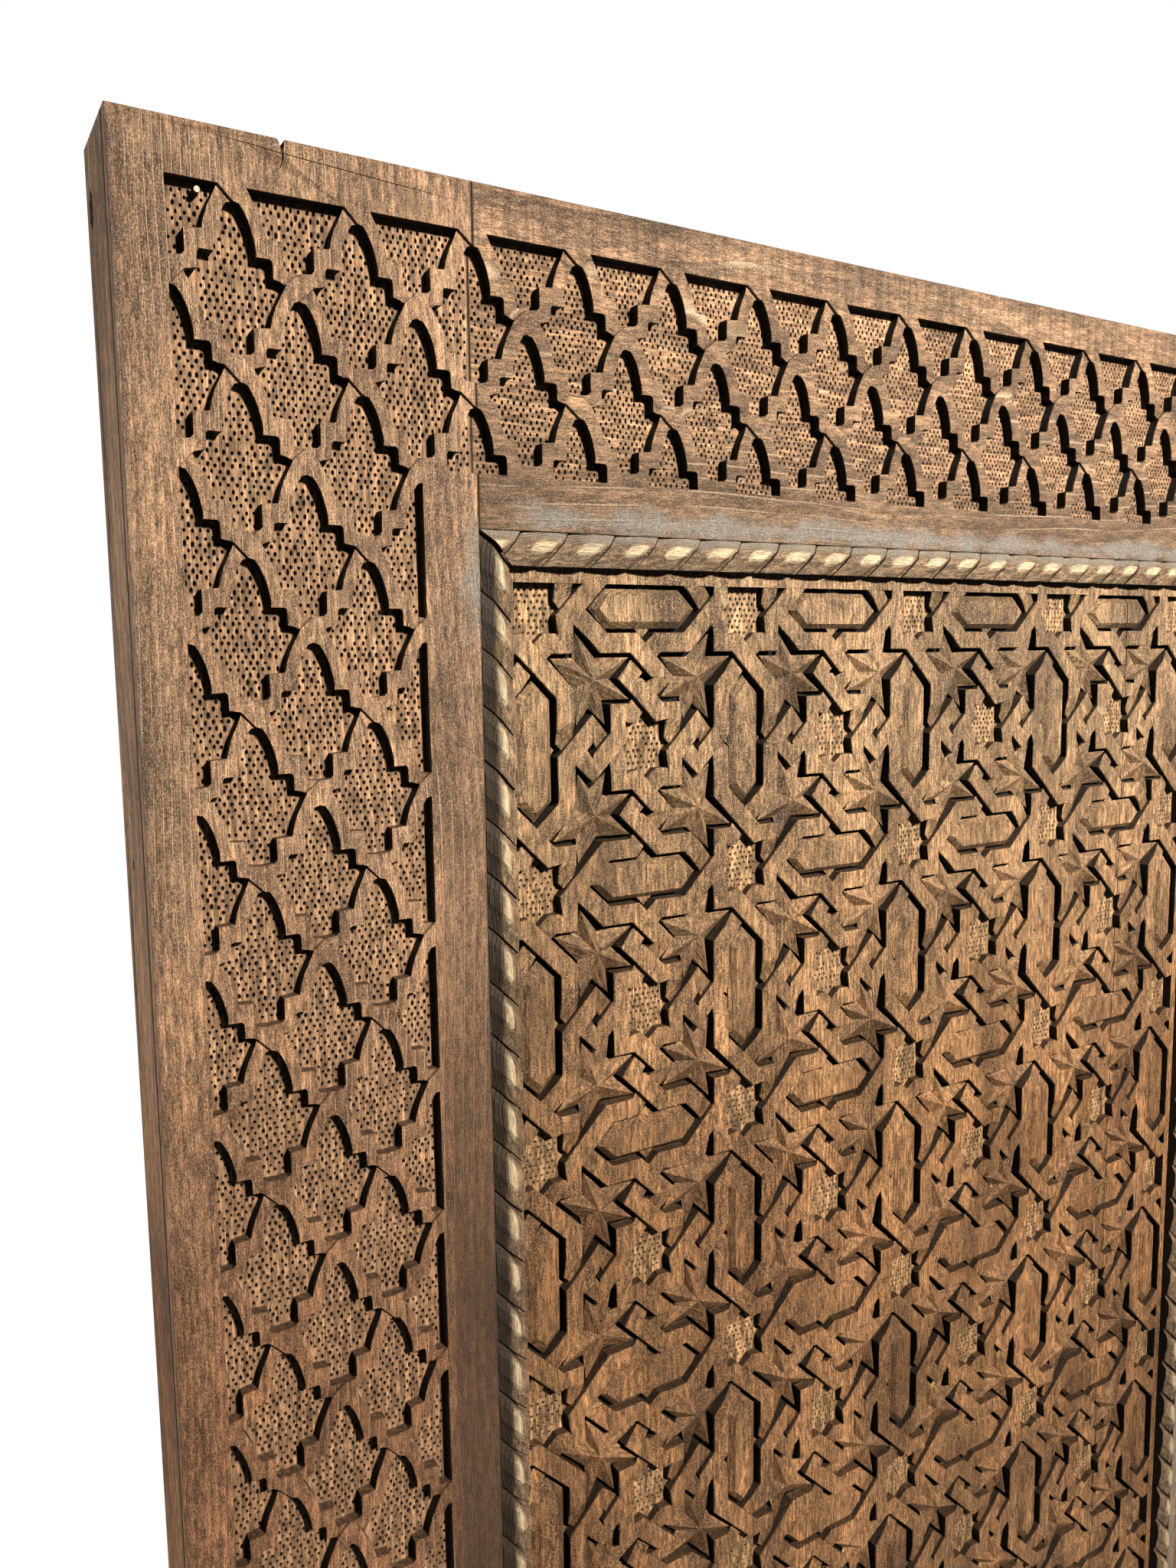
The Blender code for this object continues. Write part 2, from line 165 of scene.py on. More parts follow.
def cutAway(bm, point, normal, close=True):
    # Removes what lies on the normal's side of a plane and closes the cut
    geom = bm.verts[:] + bm.edges[:] + bm.faces[:]
    cut = bmesh.ops.bisect_plane(bm, geom=geom, dist=1e-7, plane_co=point, plane_no=normal, clear_outer=True)
    if close:
        edges = [e for e in cut["geom_cut"] if isinstance(e, bmesh.types.BMEdge) and e.is_boundary]
        bmesh.ops.edgeloop_fill(bm, edges=edges)


def handCut(bm, sideways, inwards, grain, low, high):
    # Small unevenness of hand work, for points inside a box only, and never out past the front
    for vert in bm.verts:
        co = vert.co
        if all(a < c < b for a, c, b in zip(low, co, high)):
            swing = noise.noise_vector(co * grain)
            slow = noise.noise_vector(co * grain * 0.23 + Vector((7, 3, 5)))
            vert.co.x += sideways * (swing.x + slow.x)
            vert.co.z += sideways * (swing.z + slow.z)
            vert.co.y += inwards * min(1, max(0, 0.5 + swing.y * 0.5 + slow.y * 0.5))


def showPiece(bm, name, nodeName, material):
    bmesh.ops.recalc_face_normals(bm, faces=bm.faces)
    mesh = bpy.data.meshes.new(name)
    bm.to_mesh(mesh)
    bm.free()
    mesh.materials.append(material)
    piece = bpy.data.objects.new(name, mesh)
    bpy.context.scene.collection.objects.link(piece)
    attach(piece, "root")
    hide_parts(nodeName)
    print(name, "triangles", sum(len(p.vertices) - 2 for p in mesh.polygons))


# A carved front: one face with holes, edges kept along given lines, and a depth for every point

def carvedFront(outline, holes, lines, depthAt, wallTo):
    points, edges, faces = [], [], []
    for loop in [outline] + holes:
        faces.append(list(range(len(points), len(points) + len(loop))))
        points += turned(loop)
    for line in lines:
        first = len(points)
        points += line
        edges += [(k, k + 1) for k in range(first, len(points) - 1)]
    found = delaunay_2d_cdt([Vector(p) for p in points], edges, faces, 0, 1e-7)
    bm = bmesh.new()
    verts = [bm.verts.new((p[0], frontY + depthAt(p[0], p[1]), p[1])) for p in found[0]]
    for corners, owners in zip(found[2], found[5]):
        if owners and not any(owners):  # in the outline and in no hole
            bm.faces.new([verts[k] for k in corners])
    dropLoose(bm)
    walls = bmesh.ops.extrude_edge_only(bm, edges=[e for e in bm.edges if e.is_boundary])
    for vert in vertsOf(walls):
        vert.co.y = wallTo
    return bm


def dottedFloor(loop, spots, floorY, pitDepth):
    # A floor with a sunk pit at each (x, z, radius, stretch)
    bm = bmesh.new()
    rim = [bm.verts.new((x, floorY, z)) for x, z in turned(loop)]
    edges = [bm.edges.new(pair) for pair in sides(rim)]
    pit = {"segments": 6, "cap_ends": True, "cap_tris": True}
    flat = Matrix.Rotation(math.radians(90), 4, "X")
    for x, z, radius, stretch in spots:
        place = Matrix.Translation((x, floorY, z)) @ Matrix.Diagonal((1, 1, stretch, 1)) @ flat
        ring = bmesh.ops.create_circle(bm, radius=radius, matrix=place, **pit)["verts"]
        for vert in ring:
            if len(vert.link_edges) > 3:  # the middle one
                vert.co.y += pitDepth
        edges += [e for v in ring for e in v.link_edges if e.is_boundary]
    bmesh.ops.triangle_fill(bm, use_beauty=True, edges=list(dict.fromkeys(edges)), normal=(0, -1, 0))
    return bm


def roundedEdge(distance, width, drop):
    # Depth of a worn arris at a distance in from it
    if distance >= width:
        return 0.0
    return drop * (1 - math.sqrt(max(0, 1 - (1 - distance / width) ** 2)))


# The net of leaf cells on the stiles and the top rail, in millimetres from each cell's tip

net = {
    "halfCell": [
        (3.4, 1.1), (5.6, 4.6), (7.7, 9), (9.2, 13.2), (10.3, 17.6), (11.2, 21.5), (11.6, 25), (11.4, 27.7),
        (18.8, 27.7), (20.2, 28.6), (20.5, 30.5), (20.7, 37.8), (24.4, 38.6), (27.9, 39.9), (25.2, 45.2),
        (21.5, 52.7), (19.4, 59.1), (18.1, 64.9), (8.7, 65.7), (8.7, 78.2), (6.9, 80.2),
    ],
    "foot": 80.9, "sideDrop": 39.9, "sideReach": 27.9, "footReach": 20.6,
    "firstTip": 37.9, "down": 95.6, "edgeMargin": 27.8, "stilePitch": 71.0, "railPitch": 74.4,
    "rows": 16, "railRows": 1, "floor": 8.45, "core": 12.0,
    "dotPitch": 4.15, "dotRadius": 1.14, "dotMargin": 1.8, "pit": 2.8,
    "dotRows": 22, "dotReach": 8, "dotStart": 8, "dotMissing": 0.06, "dotDown": 0.88, "dotAcross": 1.08,
    "weaveDrop": 2.1, "weaveDropRight": 0.62, "weaveRamp": 9.0, "weaveStep": 0.45, "weaveOver": 1.2,
}


def netEnd(rows):
    return net["firstTip"] + rows * net["down"] + net["sideDrop"]


bandTop = net["firstTip"] - net["down"] / 2 + net["sideDrop"]
stileEnd, railEnd = netEnd(net["rows"]), netEnd(net["railRows"])
rampSquare = 0.03  # ramps are looked up by squares of this size


def cellLoop(across, tip):
    right = net["halfCell"]
    loop = [(0, 0)] + right + [(0, net["foot"])] + [(-x, z) for x, z in reversed(right)]
    return [(across + x, tip + z) for x, z in loop]


def netPlan(columns, left, rightOf):
    # From columns of (across, tips are raised, rows): the cells and the weave's edges, in millimetres
    cells, weave = [], []
    for index, (across, raised, rows) in enumerate(columns):
        half = across - columns[index - 1][0] if index else columns[1][0] - across
        reach, end = half - net["sideReach"], netEnd(rows)
        for row in range(rows + 1):
            tip = net["firstTip"] + (row - (0.5 if raised else 0)) * net["down"]
            right = rightOf(index, row)
            loop = clipped(cellLoop(across, tip), 1, bandTop, end)
            if tip + net["foot"] > end:
                loop = clipped(loop, 0, across - net["footReach"], across + net["footReach"])
            cells.append((clipped(loop, 0, left, right), tip))
            side = tip - net["down"] / 2 + net["sideDrop"]
            if side < bandTop - 1:
                continue
            foot = tip - net["down"] + net["foot"]
            leftSide, rightSide = (across - reach, side), (across + reach, side)
            below, above = (across, tip), (across, foot)
            inLeft, inRight, upper = across - 1 > left, across + 1 < right, foot > bandTop + 4  # not cut off
            if raised:
                pairs = [(leftSide, above, -1, inLeft and upper), (below, rightSide, 1, inRight)]
            else:
                pairs = [(above, rightSide, 1, inRight and upper), (leftSide, below, -1, inLeft)]
            weave += [(a, b, way) for a, b, way, wanted in pairs if wanted]
    return cells, weave


def weaveLines(weave, place):
    # For every edge of a band that passes over: its line, the foot of the step, and the end of the ramp
    lines, ramps = [], []
    step, ramp, over = net["weaveStep"] * mm, net["weaveRamp"] * mm, net["weaveOver"] * mm
    for a, b, way in weave:
        (ax, az), (bx, bz) = place(*a), place(*b)
        length = math.hypot(bx - ax, bz - az)
        dx, dz = (bx - ax) / length, (bz - az) / length
        nx, nz = -dz, dx
        if (nx > 0) != (place(way, 0)[0] > place(0, 0)[0]):
            nx, nz = -nx, -nz
        drop = net["weaveDrop"] * (1 if nx < 0 else net["weaveDropRight"]) * mm
        ramps.append((ax, az, dx, dz, nx, nz, length, drop))
        for off in (0, step, ramp * 0.45, ramp):
            start = (ax - dx * over + nx * off, az - dz * over + nz * off)
            end = (bx + dx * over + nx * off, bz + dz * over + nz * off)
            lines.append([start, end])
    return lines, ramps


def rampIndex(ramps):
    found = {}
    for ramp in ramps:
        for i in (-1, 0, 1):
            for j in (-1, 0, 1):
                key = (round(ramp[0] / rampSquare) + i, round(ramp[1] / rampSquare) + j)
                found.setdefault(key, []).append(ramp)
    return found


def rampDepth(index, x, z):
    deepest = 0.0
    step, ramp, beyond = net["weaveStep"] * mm, net["weaveRamp"] * mm, 4 * mm
    for ax, az, dx, dz, nx, nz, length, drop in index.get((round(x / rampSquare), round(z / rampSquare)), []):
        along = (x - ax) * dx + (z - az) * dz
        off = (x - ax) * nx + (z - az) * nz
        if not (-beyond < along < length + beyond and 0 < off < ramp):
            continue
        if off < step:
            depth = drop * off / step
        else:
            depth = drop * (1 - (off - step) / (ramp - step)) ** 1.4
        deepest = max(deepest, depth)
    return deepest


def clearPit(spots, x, z, radius, stretch):
    # Whether a pit stays clear of those of the rows before it
    for ox, oz, other, otherStretch in spots[-26:]:
        wide, high = radius + other, radius * stretch + other * otherStretch
        if ((x - ox) / wide) ** 2 + ((z - oz) / high) ** 2 < 1.25:
            return False
    return True


def netFloors(bm, cells, place, seed):
    # Pricked floors: rows of pits in a lattice, some drawn long where the wood tore
    dice = random.Random(seed)
    pitch, aside = net["dotPitch"], net["dotReach"]
    for loop, tip in cells:
        spots = []
        torn = dice.random()
        lean = dice.uniform(-0.5, 0.5)
        low = min(p[1] for p in loop)
        for j in range(net["dotRows"]):
            z = tip + net["dotStart"] + j * pitch * net["dotDown"]
            for i in range(-aside, aside + 1):
                across = loopMiddle(loop) + (i + (0.5 if j % 2 else 0)) * pitch * net["dotAcross"]
                x = across + dice.uniform(-0.5, 0.5) + lean * (z - tip) * 0.04
                zz = z + dice.uniform(-0.55, 0.55)
                if dice.random() < net["dotMissing"] or zz < low or not within(loop, x, zz):
                    continue
                room = rimDistance(loop, x, zz)
                radius = net["dotRadius"] * dice.uniform(0.72, 1.08)
                stretch = dice.uniform(1.1, 1.8)
                if torn > 0.5 and abs(i) < 5 and dice.random() < 0.35:
                    stretch = dice.uniform(1.8, 2.2)
                stretch = min(stretch, room / radius)
                if not clearPit(spots, x, zz, radius, stretch):
                    stretch = 1.0
                if room > net["dotMargin"] and clearPit(spots, x, zz, radius, stretch):
                    spots.append((x, zz, radius, stretch))
        spots = [(*place(x, z), radius * mm, stretch) for x, z, radius, stretch in spots]
        ground = [place(*p) for p in swollen(loop, 1.03)]
        if len(loop) > 3:
            merged(bm, dottedFloor(ground, spots, frontY + net["floor"] * mm, net["pit"] * mm))


print("helpers ready")


# Materials

def feed(tree, node, values):
    # Links each input of a node, or sets its own value
    for key, value in values.items():
        if isinstance(value, bpy.types.NodeSocket):
            tree.links.new(value, node.inputs[key])
        else:
            node.inputs[key].default_value = value


def addNode(tree, kind, values, **settings):
    made = tree.nodes.new(kind)
    for name, value in settings.items():
        setattr(made, name, value)
    feed(tree, made, values)
    return made.outputs


def mathNode(tree, operation, a, b=0.0, clamp=False):
    return addNode(tree, "ShaderNodeMath", {0: a, 1: b}, operation=operation, use_clamp=clamp)[0]


def vectorNode(tree, operation, a, b=(0, 0, 0)):
    return addNode(tree, "ShaderNodeVectorMath", {0: a, 1: b}, operation=operation)


def mapRange(tree, value, fromLow, fromHigh, toLow=0.0, toHigh=1.0):
    values = {"Value": value, "From Min": fromLow, "From Max": fromHigh, "To Min": toLow, "To Max": toHigh}
    return addNode(tree, "ShaderNodeMapRange", values)[0]


def mixColour(tree, factor, a, b, blend="MIX"):
    return addNode(tree, "ShaderNodeMix", {0: factor, 6: a, 7: b}, data_type="RGBA", blend_type=blend)[2]


def stretchedNoise(tree, position, scale, detail=2.0, rough=0.5):
    moved = vectorNode(tree, "MULTIPLY", position, scale)[0]
    values = {"Vector": moved, "Scale": 1.0, "Detail": detail, "Roughness": rough}
    return addNode(tree, "ShaderNodeTexNoise", values)[0]


def newGroup(name, vectors, numbers, results):
    tree = bpy.data.node_groups.new(name, "ShaderNodeTree")
    for label in vectors:
        tree.interface.new_socket(name=label, in_out="INPUT", socket_type="NodeSocketVector")
    for label in numbers:
        tree.interface.new_socket(name=label, in_out="INPUT", socket_type="NodeSocketFloat")
    for label in results:
        tree.interface.new_socket(name=label, in_out="OUTPUT", socket_type="NodeSocketFloat")
    return tree, tree.nodes.new("NodeGroupInput").outputs, tree.nodes.new("NodeGroupOutput")


def makeGrainGroup():
    # Wood along Z: fibre streaks, pores, year rings cut by the surface, and broad patches
    results = ["Fibre", "Ring line", "Ring shade", "Patch", "Mottle", "Speck"]
    tree, given, target = newGroup("oldWoodGrain", ["Position", "Heart"], ["Ring width"], results)
    position = given["Position"]
    wander = stretchedNoise(tree, position, (7, 7, 2.2))
    ripple = stretchedNoise(tree, position, (60, 60, 14))
    away = vectorNode(tree, "SUBTRACT", position, given["Heart"])[0]
    radius = vectorNode(tree, "LENGTH", vectorNode(tree, "MULTIPLY", away, (1, 1, 0))[0])["Value"]
    bent = mathNode(tree, "ADD", radius, mathNode(tree, "MULTIPLY", wander, 0.030))
    bent = mathNode(tree, "ADD", bent, mathNode(tree, "MULTIPLY", ripple, 0.0012))
    year = mathNode(tree, "FRACT", mathNode(tree, "DIVIDE", bent, given["Ring width"]))
    line = mathNode(tree, "MULTIPLY", mapRange(tree, year, 0.80, 0.93), mapRange(tree, year, 1.0, 0.95))
    shown = mapRange(tree, stretchedNoise(tree, position, (17, 17, 9)), 0.46, 0.56)
    feed(tree, target, {
        "Fibre": stretchedNoise(tree, position, (1000, 1000, 120), 4.0, 0.68),
        "Ring line": mathNode(tree, "MULTIPLY", line, shown),
        "Ring shade": year,
        "Patch": stretchedNoise(tree, position, (26, 26, 7), 5.0, 0.6),
        "Mottle": stretchedNoise(tree, position, (330, 330, 75), 3.0, 0.62),
        "Speck": stretchedNoise(tree, position, (1900, 1900, 1000), 2.0, 0.65),
    })
    return tree


def makeBandGroup():
    # A soft mask along one line: how near the given coordinate is to a place
    tree, given, target = newGroup("nearLine", [], ["Coordinate", "Place", "Reach"], ["Mask"])
    off = mathNode(tree, "SUBTRACT", given["Coordinate"], given["Place"])
    share = mathNode(tree, "DIVIDE", mathNode(tree, "ABSOLUTE", off), given["Reach"])
    feed(tree, target, {"Mask": mathNode(tree, "SUBTRACT", 1.0, share, clamp=True)})
    return tree


grainGroup = makeGrainGroup()
bandGroup = makeBandGroup()
# Tones of pores, of the painted shadow in cuts, of a darker band low along an edge, and of stains and painted
# shade
dirtAndShadeTones = {
    "pore": (0.045, 0.028, 0.017, 1), "cut": (0.004, 0.003, 0.002, 1), "lowerEdgeDark": (0.060, 0.036, 0.022, 1),
    "stainAndShadeTone": (0.050, 0.034, 0.022, 1),
}


def oldWood(name, look):
    # Layers of colour over the bare wood; depths are measured back from the look's front plane
    material = bpy.data.materials.new(name)
    material.use_nodes = True
    tree = material.node_tree
    at = addNode(tree, "ShaderNodeTexCoord", {})["Object"]
    split = addNode(tree, "ShaderNodeSeparateXYZ", {0: at})

    def ramp(value, fromLow, fromHigh, toLow=0.0, toHigh=1.0):
        return mapRange(tree, value, fromLow, fromHigh, toLow, toHigh)

    def times(first, *others):
        for other in others:
            first = mathNode(tree, "MULTIPLY", first, other)
        return first

    def joined(x, y, z):
        return addNode(tree, "ShaderNodeCombineXYZ", {0: x, 1: y, 2: z})[0]

    def nearTo(axis, where, reach):
        values = {"Coordinate": split[axis], "Place": where, "Reach": reach}
        return addNode(tree, "ShaderNodeGroup", values, node_tree=bandGroup)["Mask"]

    def paint(share, tone, blend="MIX"):
        nonlocal colour
        colour = mixColour(tree, share, colour, tone, blend)

    values = {"Position": joined(split[2], split[1], split[0]) if look.get("level") else at,
              "Heart": look["heart"], "Ring width": look["ringWidth"]}
    grain = addNode(tree, "ShaderNodeGroup", values, node_tree=grainGroup)
    fibre, speck, ringLine = grain["Fibre"], grain["Speck"], grain["Ring line"]
    colour = mixColour(tree, ramp(grain["Patch"], 0.36, 0.64), look["dark"], look["light"])
    mottle = ramp(grain["Mottle"], 0.38, 0.62, 1 - look["mottle"], 1 + look["mottle"])
    shade = times(ramp(grain["Ring shade"], 0.0, 1.0, 1.30, 0.70), mottle)
    if "sawn" in look:
        saw = ramp(stretchedNoise(tree, at, (270, 10, 16)), 0.42, 0.60, 0.86, 1.34)
        shade = times(shade, ramp(nearTo(2, look["sawn"], 0.075), 0.0, 0.5, 1.0, saw))
    streak = ramp(fibre, 0.34, 0.66, 0.50, 1.50)
    paint(1.0, joined(shade, shade, shade), "MULTIPLY")
    paint(1.0, joined(streak, streak, streak), "MULTIPLY")
    paint(times(ringLine, look["ringLine"]), look["pale"])
    paint(ramp(speck, 0.53, 0.68, 0.0, look["paleSpeck"]), look["pale"])
    paint(ramp(speck, 0.48, 0.32, 0.0, 0.8), dirtAndShadeTones["pore"])
    if "redFrom" in look:
        paint(ramp(split[2], look["redFrom"], look["redFrom"] - 0.35), look["redTone"], "MULTIPLY")

    # Parts a little below the front are a little darker and floors further back take the look's sunk tone;
    # the bottoms of the pits and of the knot holes are painted nearly black as painted shadow
    depth = mathNode(tree, "SUBTRACT", split[1], look["front"])
    if "hollowTone" in look:
        paint(ramp(depth, 0.0006, 0.0013), look["hollowTone"], "MULTIPLY")
    inCut = ramp(depth, look["wallTo"] + 0.001, look["wallTo"])
    sunk = times(inCut, ramp(depth, look["sunkFrom"], look["deep"]))
    uneven = times(shade, streak)
    sunkTone = mixColour(tree, 1.0, look["sunk"], joined(uneven, uneven, uneven), "MULTIPLY")
    paint(times(sunk, look["sunkShare"]), sunkTone)
    paintedPitShadow = times(inCut, ramp(depth, look["pitFrom"], look["pitFrom"] + 0.0005))
    if "knotsFrom" in look:
        behind = mathNode(tree, "SUBTRACT", split[0], look["knotsFrom"])
        knot = times(ramp(behind, 0.0002, 0.0008), ramp(behind, 0.013, 0.012),
                     ramp(depth, 0.067, 0.066), ramp(depth, 0.013, 0.0145))
        paintedPitShadow = mathNode(tree, "MAXIMUM", paintedPitShadow, knot)
    paint(paintedPitShadow, dirtAndShadeTones["cut"])
    # Pale wear and a painted highlight on the parts nearest the front, the crests of the ropes
    if "wearAndHighlight" in look:
        wearAndHighlight = ramp(depth, 0.0024, 0.0012, 0.0, look["wearAndHighlight"])
        paint(times(wearAndHighlight, ramp(fibre, 0.38, 0.60, 0.35, 1.0)), look["pale"])

    # Walls of the cuts are painted nearly black as painted shade, less where they face up, but not the outer
    # faces of the piece
    normal = addNode(tree, "ShaderNodeNewGeometry", {})["True Normal"]
    facing = addNode(tree, "ShaderNodeSeparateXYZ", {0: normal})
    aside = ramp(mathNode(tree, "ABSOLUTE", facing[1]), 0.45, 0.12)
    paintedWallShade = times(aside, ramp(facing[2], 0.4, 0.9, 1.0, 0.55))
    paintedWallShade = times(paintedWallShade, ramp(depth, look["wallFrom"], look["wallFrom"] + 0.0015), inCut)
    for axis, where in look["outer"]:
        paintedWallShade = times(paintedWallShade, ramp(nearTo(axis, where, 0.0012), 0.4, 0.0))
    paint(times(paintedWallShade, look["wallShadeShare"]), dirtAndShadeTones["cut"])

    # A darker band low along an edge, stains and painted shade, and a smear of dust, each along a line of the
    # door
    if "lowerEdgeDark" in look:
        where, reach, begin, share = look["lowerEdgeDark"]
        lower = ramp(split[2], begin, begin - 0.45)
        paint(times(ramp(nearTo(0, where, reach), 0.0, 0.4), lower, share), dirtAndShadeTones["lowerEdgeDark"])
    for axis, where, reach, share in look.get("stainsAndShade", []):
        paint(times(ramp(nearTo(axis, where, reach), 0.0, 0.5), share), dirtAndShadeTones["stainAndShadeTone"])
    if "smear" in look:
        cloud = stretchedNoise(tree, at, (26, 26, 26), 5.0, 0.62)
        cover = mathNode(tree, "ADD", times(nearTo(*look["smear"]), 0.45), cloud)
        dusty = ramp(cover, 0.70, 0.92, 0.0, 0.8)
        for axis, begin, full in look.get("smearEnds", []):
            dusty = times(dusty, ramp(split[axis], begin, full))
        dust = mixColour(tree, ramp(speck, 0.42, 0.60), look["smearTone"], look["smearPale"])
        paint(times(dusty, ramp(depth, 0.012, 0.009)), dust)

    height = mathNode(tree, "ADD", fibre, times(ringLine, 0.5))
    height = mathNode(tree, "ADD", height, times(speck, 0.7))
    bump = addNode(tree, "ShaderNodeBump", {"Height": height, "Strength": 0.9, "Distance": 0.0011})[0]
    rough = ramp(fibre, 0.3, 0.7, look["rough"] + 0.08, look["rough"] - 0.08)
    feed(tree, tree.nodes["Principled BSDF"],
         {"Base Color": colour, "Roughness": rough, "Specular IOR Level": 0.45, "Normal": bump})
    return material


# Looks: stains and painted shade are (axis, where, reach, share), a smear is (axis, where, reach) with ends
# (axis, none, full), and a darker band low along an edge is (x, reach, the height it begins at, share)
frameLook = {
    "dark": (0.156, 0.093, 0.055, 1), "light": (0.360, 0.221, 0.130, 1), "pale": (0.60, 0.44, 0.29, 1),
    "mottle": 0.36, "paleSpeck": 0.60, "ringWidth": 0.0058, "ringLine": 0.75, "rough": 0.66,
    "sunk": (0.310, 0.190, 0.108, 1), "sunkFrom": 0.0005, "sunkShare": 0.7, "deep": 0.008, "pitFrom": 0.0090,
    "smearTone": (0.150, 0.138, 0.122, 1), "smearPale": (0.300, 0.270, 0.225, 1), "front": frontY,
    "wallTo": 0.0125, "wallShadeShare": 0.97, "wallFrom": 0.0004,
    "outer": [(0, doorLeft), (0, 0.0), (2, doorTop), (2, doorBottom)],
}
boardLook = {
    "dark": (0.114, 0.064, 0.033, 1), "light": (0.330, 0.204, 0.109, 1), "pale": (0.62, 0.47, 0.28, 1),
    "mottle": 0.52, "paleSpeck": 0.78, "ringWidth": 0.0026, "ringLine": 0.40, "rough": 0.50,
    "hollowTone": (0.90, 0.90, 0.90, 1), "redFrom": 0.62, "redTone": (0.98, 0.83, 0.71, 1),
    "sunk": (0.330, 0.210, 0.112, 1), "sunkFrom": 0.0070, "sunkShare": 0.7, "deep": 0.0082, "pitFrom": 0.0094,
    "front": fieldY, "wallTo": 0.0115, "wallShadeShare": 0.97, "wallFrom": 0.0004, "outer": [],
}
aboveRope = (2, openTop + 0.012, openTop - 0.01)
stileLeftWood = oldWood("stileLeftWood", {
    **frameLook, "heart": (-0.93, 0.10, 0), "ringWidth": 0.0046, "knotsFrom": doorLeft,
    "redFrom": 0.60, "redTone": (0.82, 0.69, 0.60, 1), "lowerEdgeDark": (openLeft, 0.045, 0.74, 0.75),
    # A dark line along the opening's edge, and the left face and its arris a little darker
    "stainsAndShade": [(0, openLeft, 0.0014, 0.7), (0, doorLeft, 0.012, 0.15)],
    "smear": (0, openLeft - 0.003, 0.018), "smearEnds": [aboveRope, (2, openTop - 0.08, openTop - 0.04)],
})
stileRightWood = oldWood("stileRightWood", {
    **frameLook, "heart": (-0.08, 0.17, 0), "smear": (0, openRight + 0.004, 0.012), "smearEnds": [aboveRope],
})
railWood = oldWood("railWood", {
    **frameLook, "dark": (0.118, 0.070, 0.041, 1), "light": (0.275, 0.169, 0.099, 1),
    "level": True, "heart": (0.93, 0.15, 0), "sawn": doorTop,
    # Darker along the top edge, a dark line at the joint with the left stile, and a darker band above the
    # rope
    "stainsAndShade": [(2, doorTop, 0.016, 0.2), (0, openLeft, 0.0016, 0.8), (2, openTop + 0.012, 0.06, 0.30)],
    "smear": (2, openTop + 0.008, 0.018), "smearEnds": [(0, openLeft + 0.02, openLeft + 0.05)],
})
bottomWood = oldWood("bottomWood", {**frameLook, "heart": (-0.85, 0.15, 0), "level": True})
print("frame wood ready")


# Frame pieces

arris = {"round": (3.2, 2.2), "slim": (1.0, 0.5), "seam": (0.4, 0.2)}  # width and drop, in millimetres


def arrisLines(low, high, widths):
    # Lines that follow the rounded edges, for (left, right, bottom, top) widths
    left, right, bottom, top = widths
    lines = []
    for share in (0.12, 0.32, 0.6, 1.0):
        for x in (low[0] + left * share, high[0] - right * share):
            lines.append([(x, low[1]), (x, high[1])])
        for z in (low[1] + bottom * share, high[1] - top * share):
            lines.append([(low[0], z), (high[0], z)])
    return lines


def arrisDepth(x, z, low, high, widths, drops):
    near = (x - low[0], high[0] - x, z - low[1], high[1] - z)
    return max(roundedEdge(max(0, d), w, drop) for d, w, drop in zip(near, widths, drops))


def crackLines(cracks):
    # Fine splits of (points, half width, depth), each drawn by three lines
    lines = []
    for points, half, depth in cracks:
        for side in (-1, 0, 1):
            row = []
            for k, (x, z) in enumerate(points):
                a, b = points[max(0, k - 1)], points[min(len(points) - 1, k + 1)]
                length = math.hypot(b[0] - a[0], b[1] - a[1])
                wide = side * half * (0.25 if k in (0, len(points) - 1) else 1.0)
                row.append((x - (b[1] - a[1]) / length * wide, z + (b[0] - a[0]) / length * wide))
            lines.append(row)
    return lines


def crackDepth(cracks, x, z):
    deepest = 0.0
    for points, half, depth in cracks:
        off = min(lineDistance(a, b, x, z) for a, b in zip(points, points[1:]))
        if off < half * 0.6:
            deepest = max(deepest, depth * (1 - off / half))
    return deepest


def makePlank(low, high, edges, lip, outer=0.0, direction=1, plan=((), ()), carved=None, calm=2, seed=0,
              cracks=(), notch=()):
    # A piece of the frame: carved front, floors of the cells, the wood behind, and the lip at the back;
    # the edges stay even for calm millimetres
    cells, weave = plan
    core = frontY + net["core"] * mm
    widths, drops = [[arris[kind][k] * mm for kind in edges] for k in (0, 1)]

    def place(across, down):
        return outer + direction * across * mm, doorTop - down * mm

    weaveRows, ramps = weaveLines(weave, place)
    index = rampIndex(ramps)

    def depthAt(x, z):
        depth = max(arrisDepth(x, z, low, high, widths, drops), crackDepth(cracks, x, z))
        if carved and carved((x - outer) * direction / mm, (doorTop - z) / mm):
            depth = max(depth, rampDepth(index, x, z))
        return depth

    outline = [low, (high[0], low[1]), high, *notch, (low[0], high[1])]
    holes = [[place(*p) for p in loop] for loop, tip in cells]
    lines = weaveRows + crackLines(cracks) + arrisLines(low, high, widths)
    bm = carvedFront(outline, holes, lines, depthAt, core)
    if cells:
        calmLow = (low[0] + calm * mm, frontY - 1, low[1] + calm * mm)
        handCut(bm, 0.22 * mm, 0.25 * mm, 60, calmLow, (high[0] - 2 * mm, core - mm, high[1] - 9 * mm))
    netFloors(bm, cells, place, seed)
    addBox(bm, (low[0], core, low[1]), (high[0], backY, high[1]))
    addBox(bm, (lip[0][0], lipY, lip[0][1]), (lip[1][0], backY, lip[1][1]))
    return bm


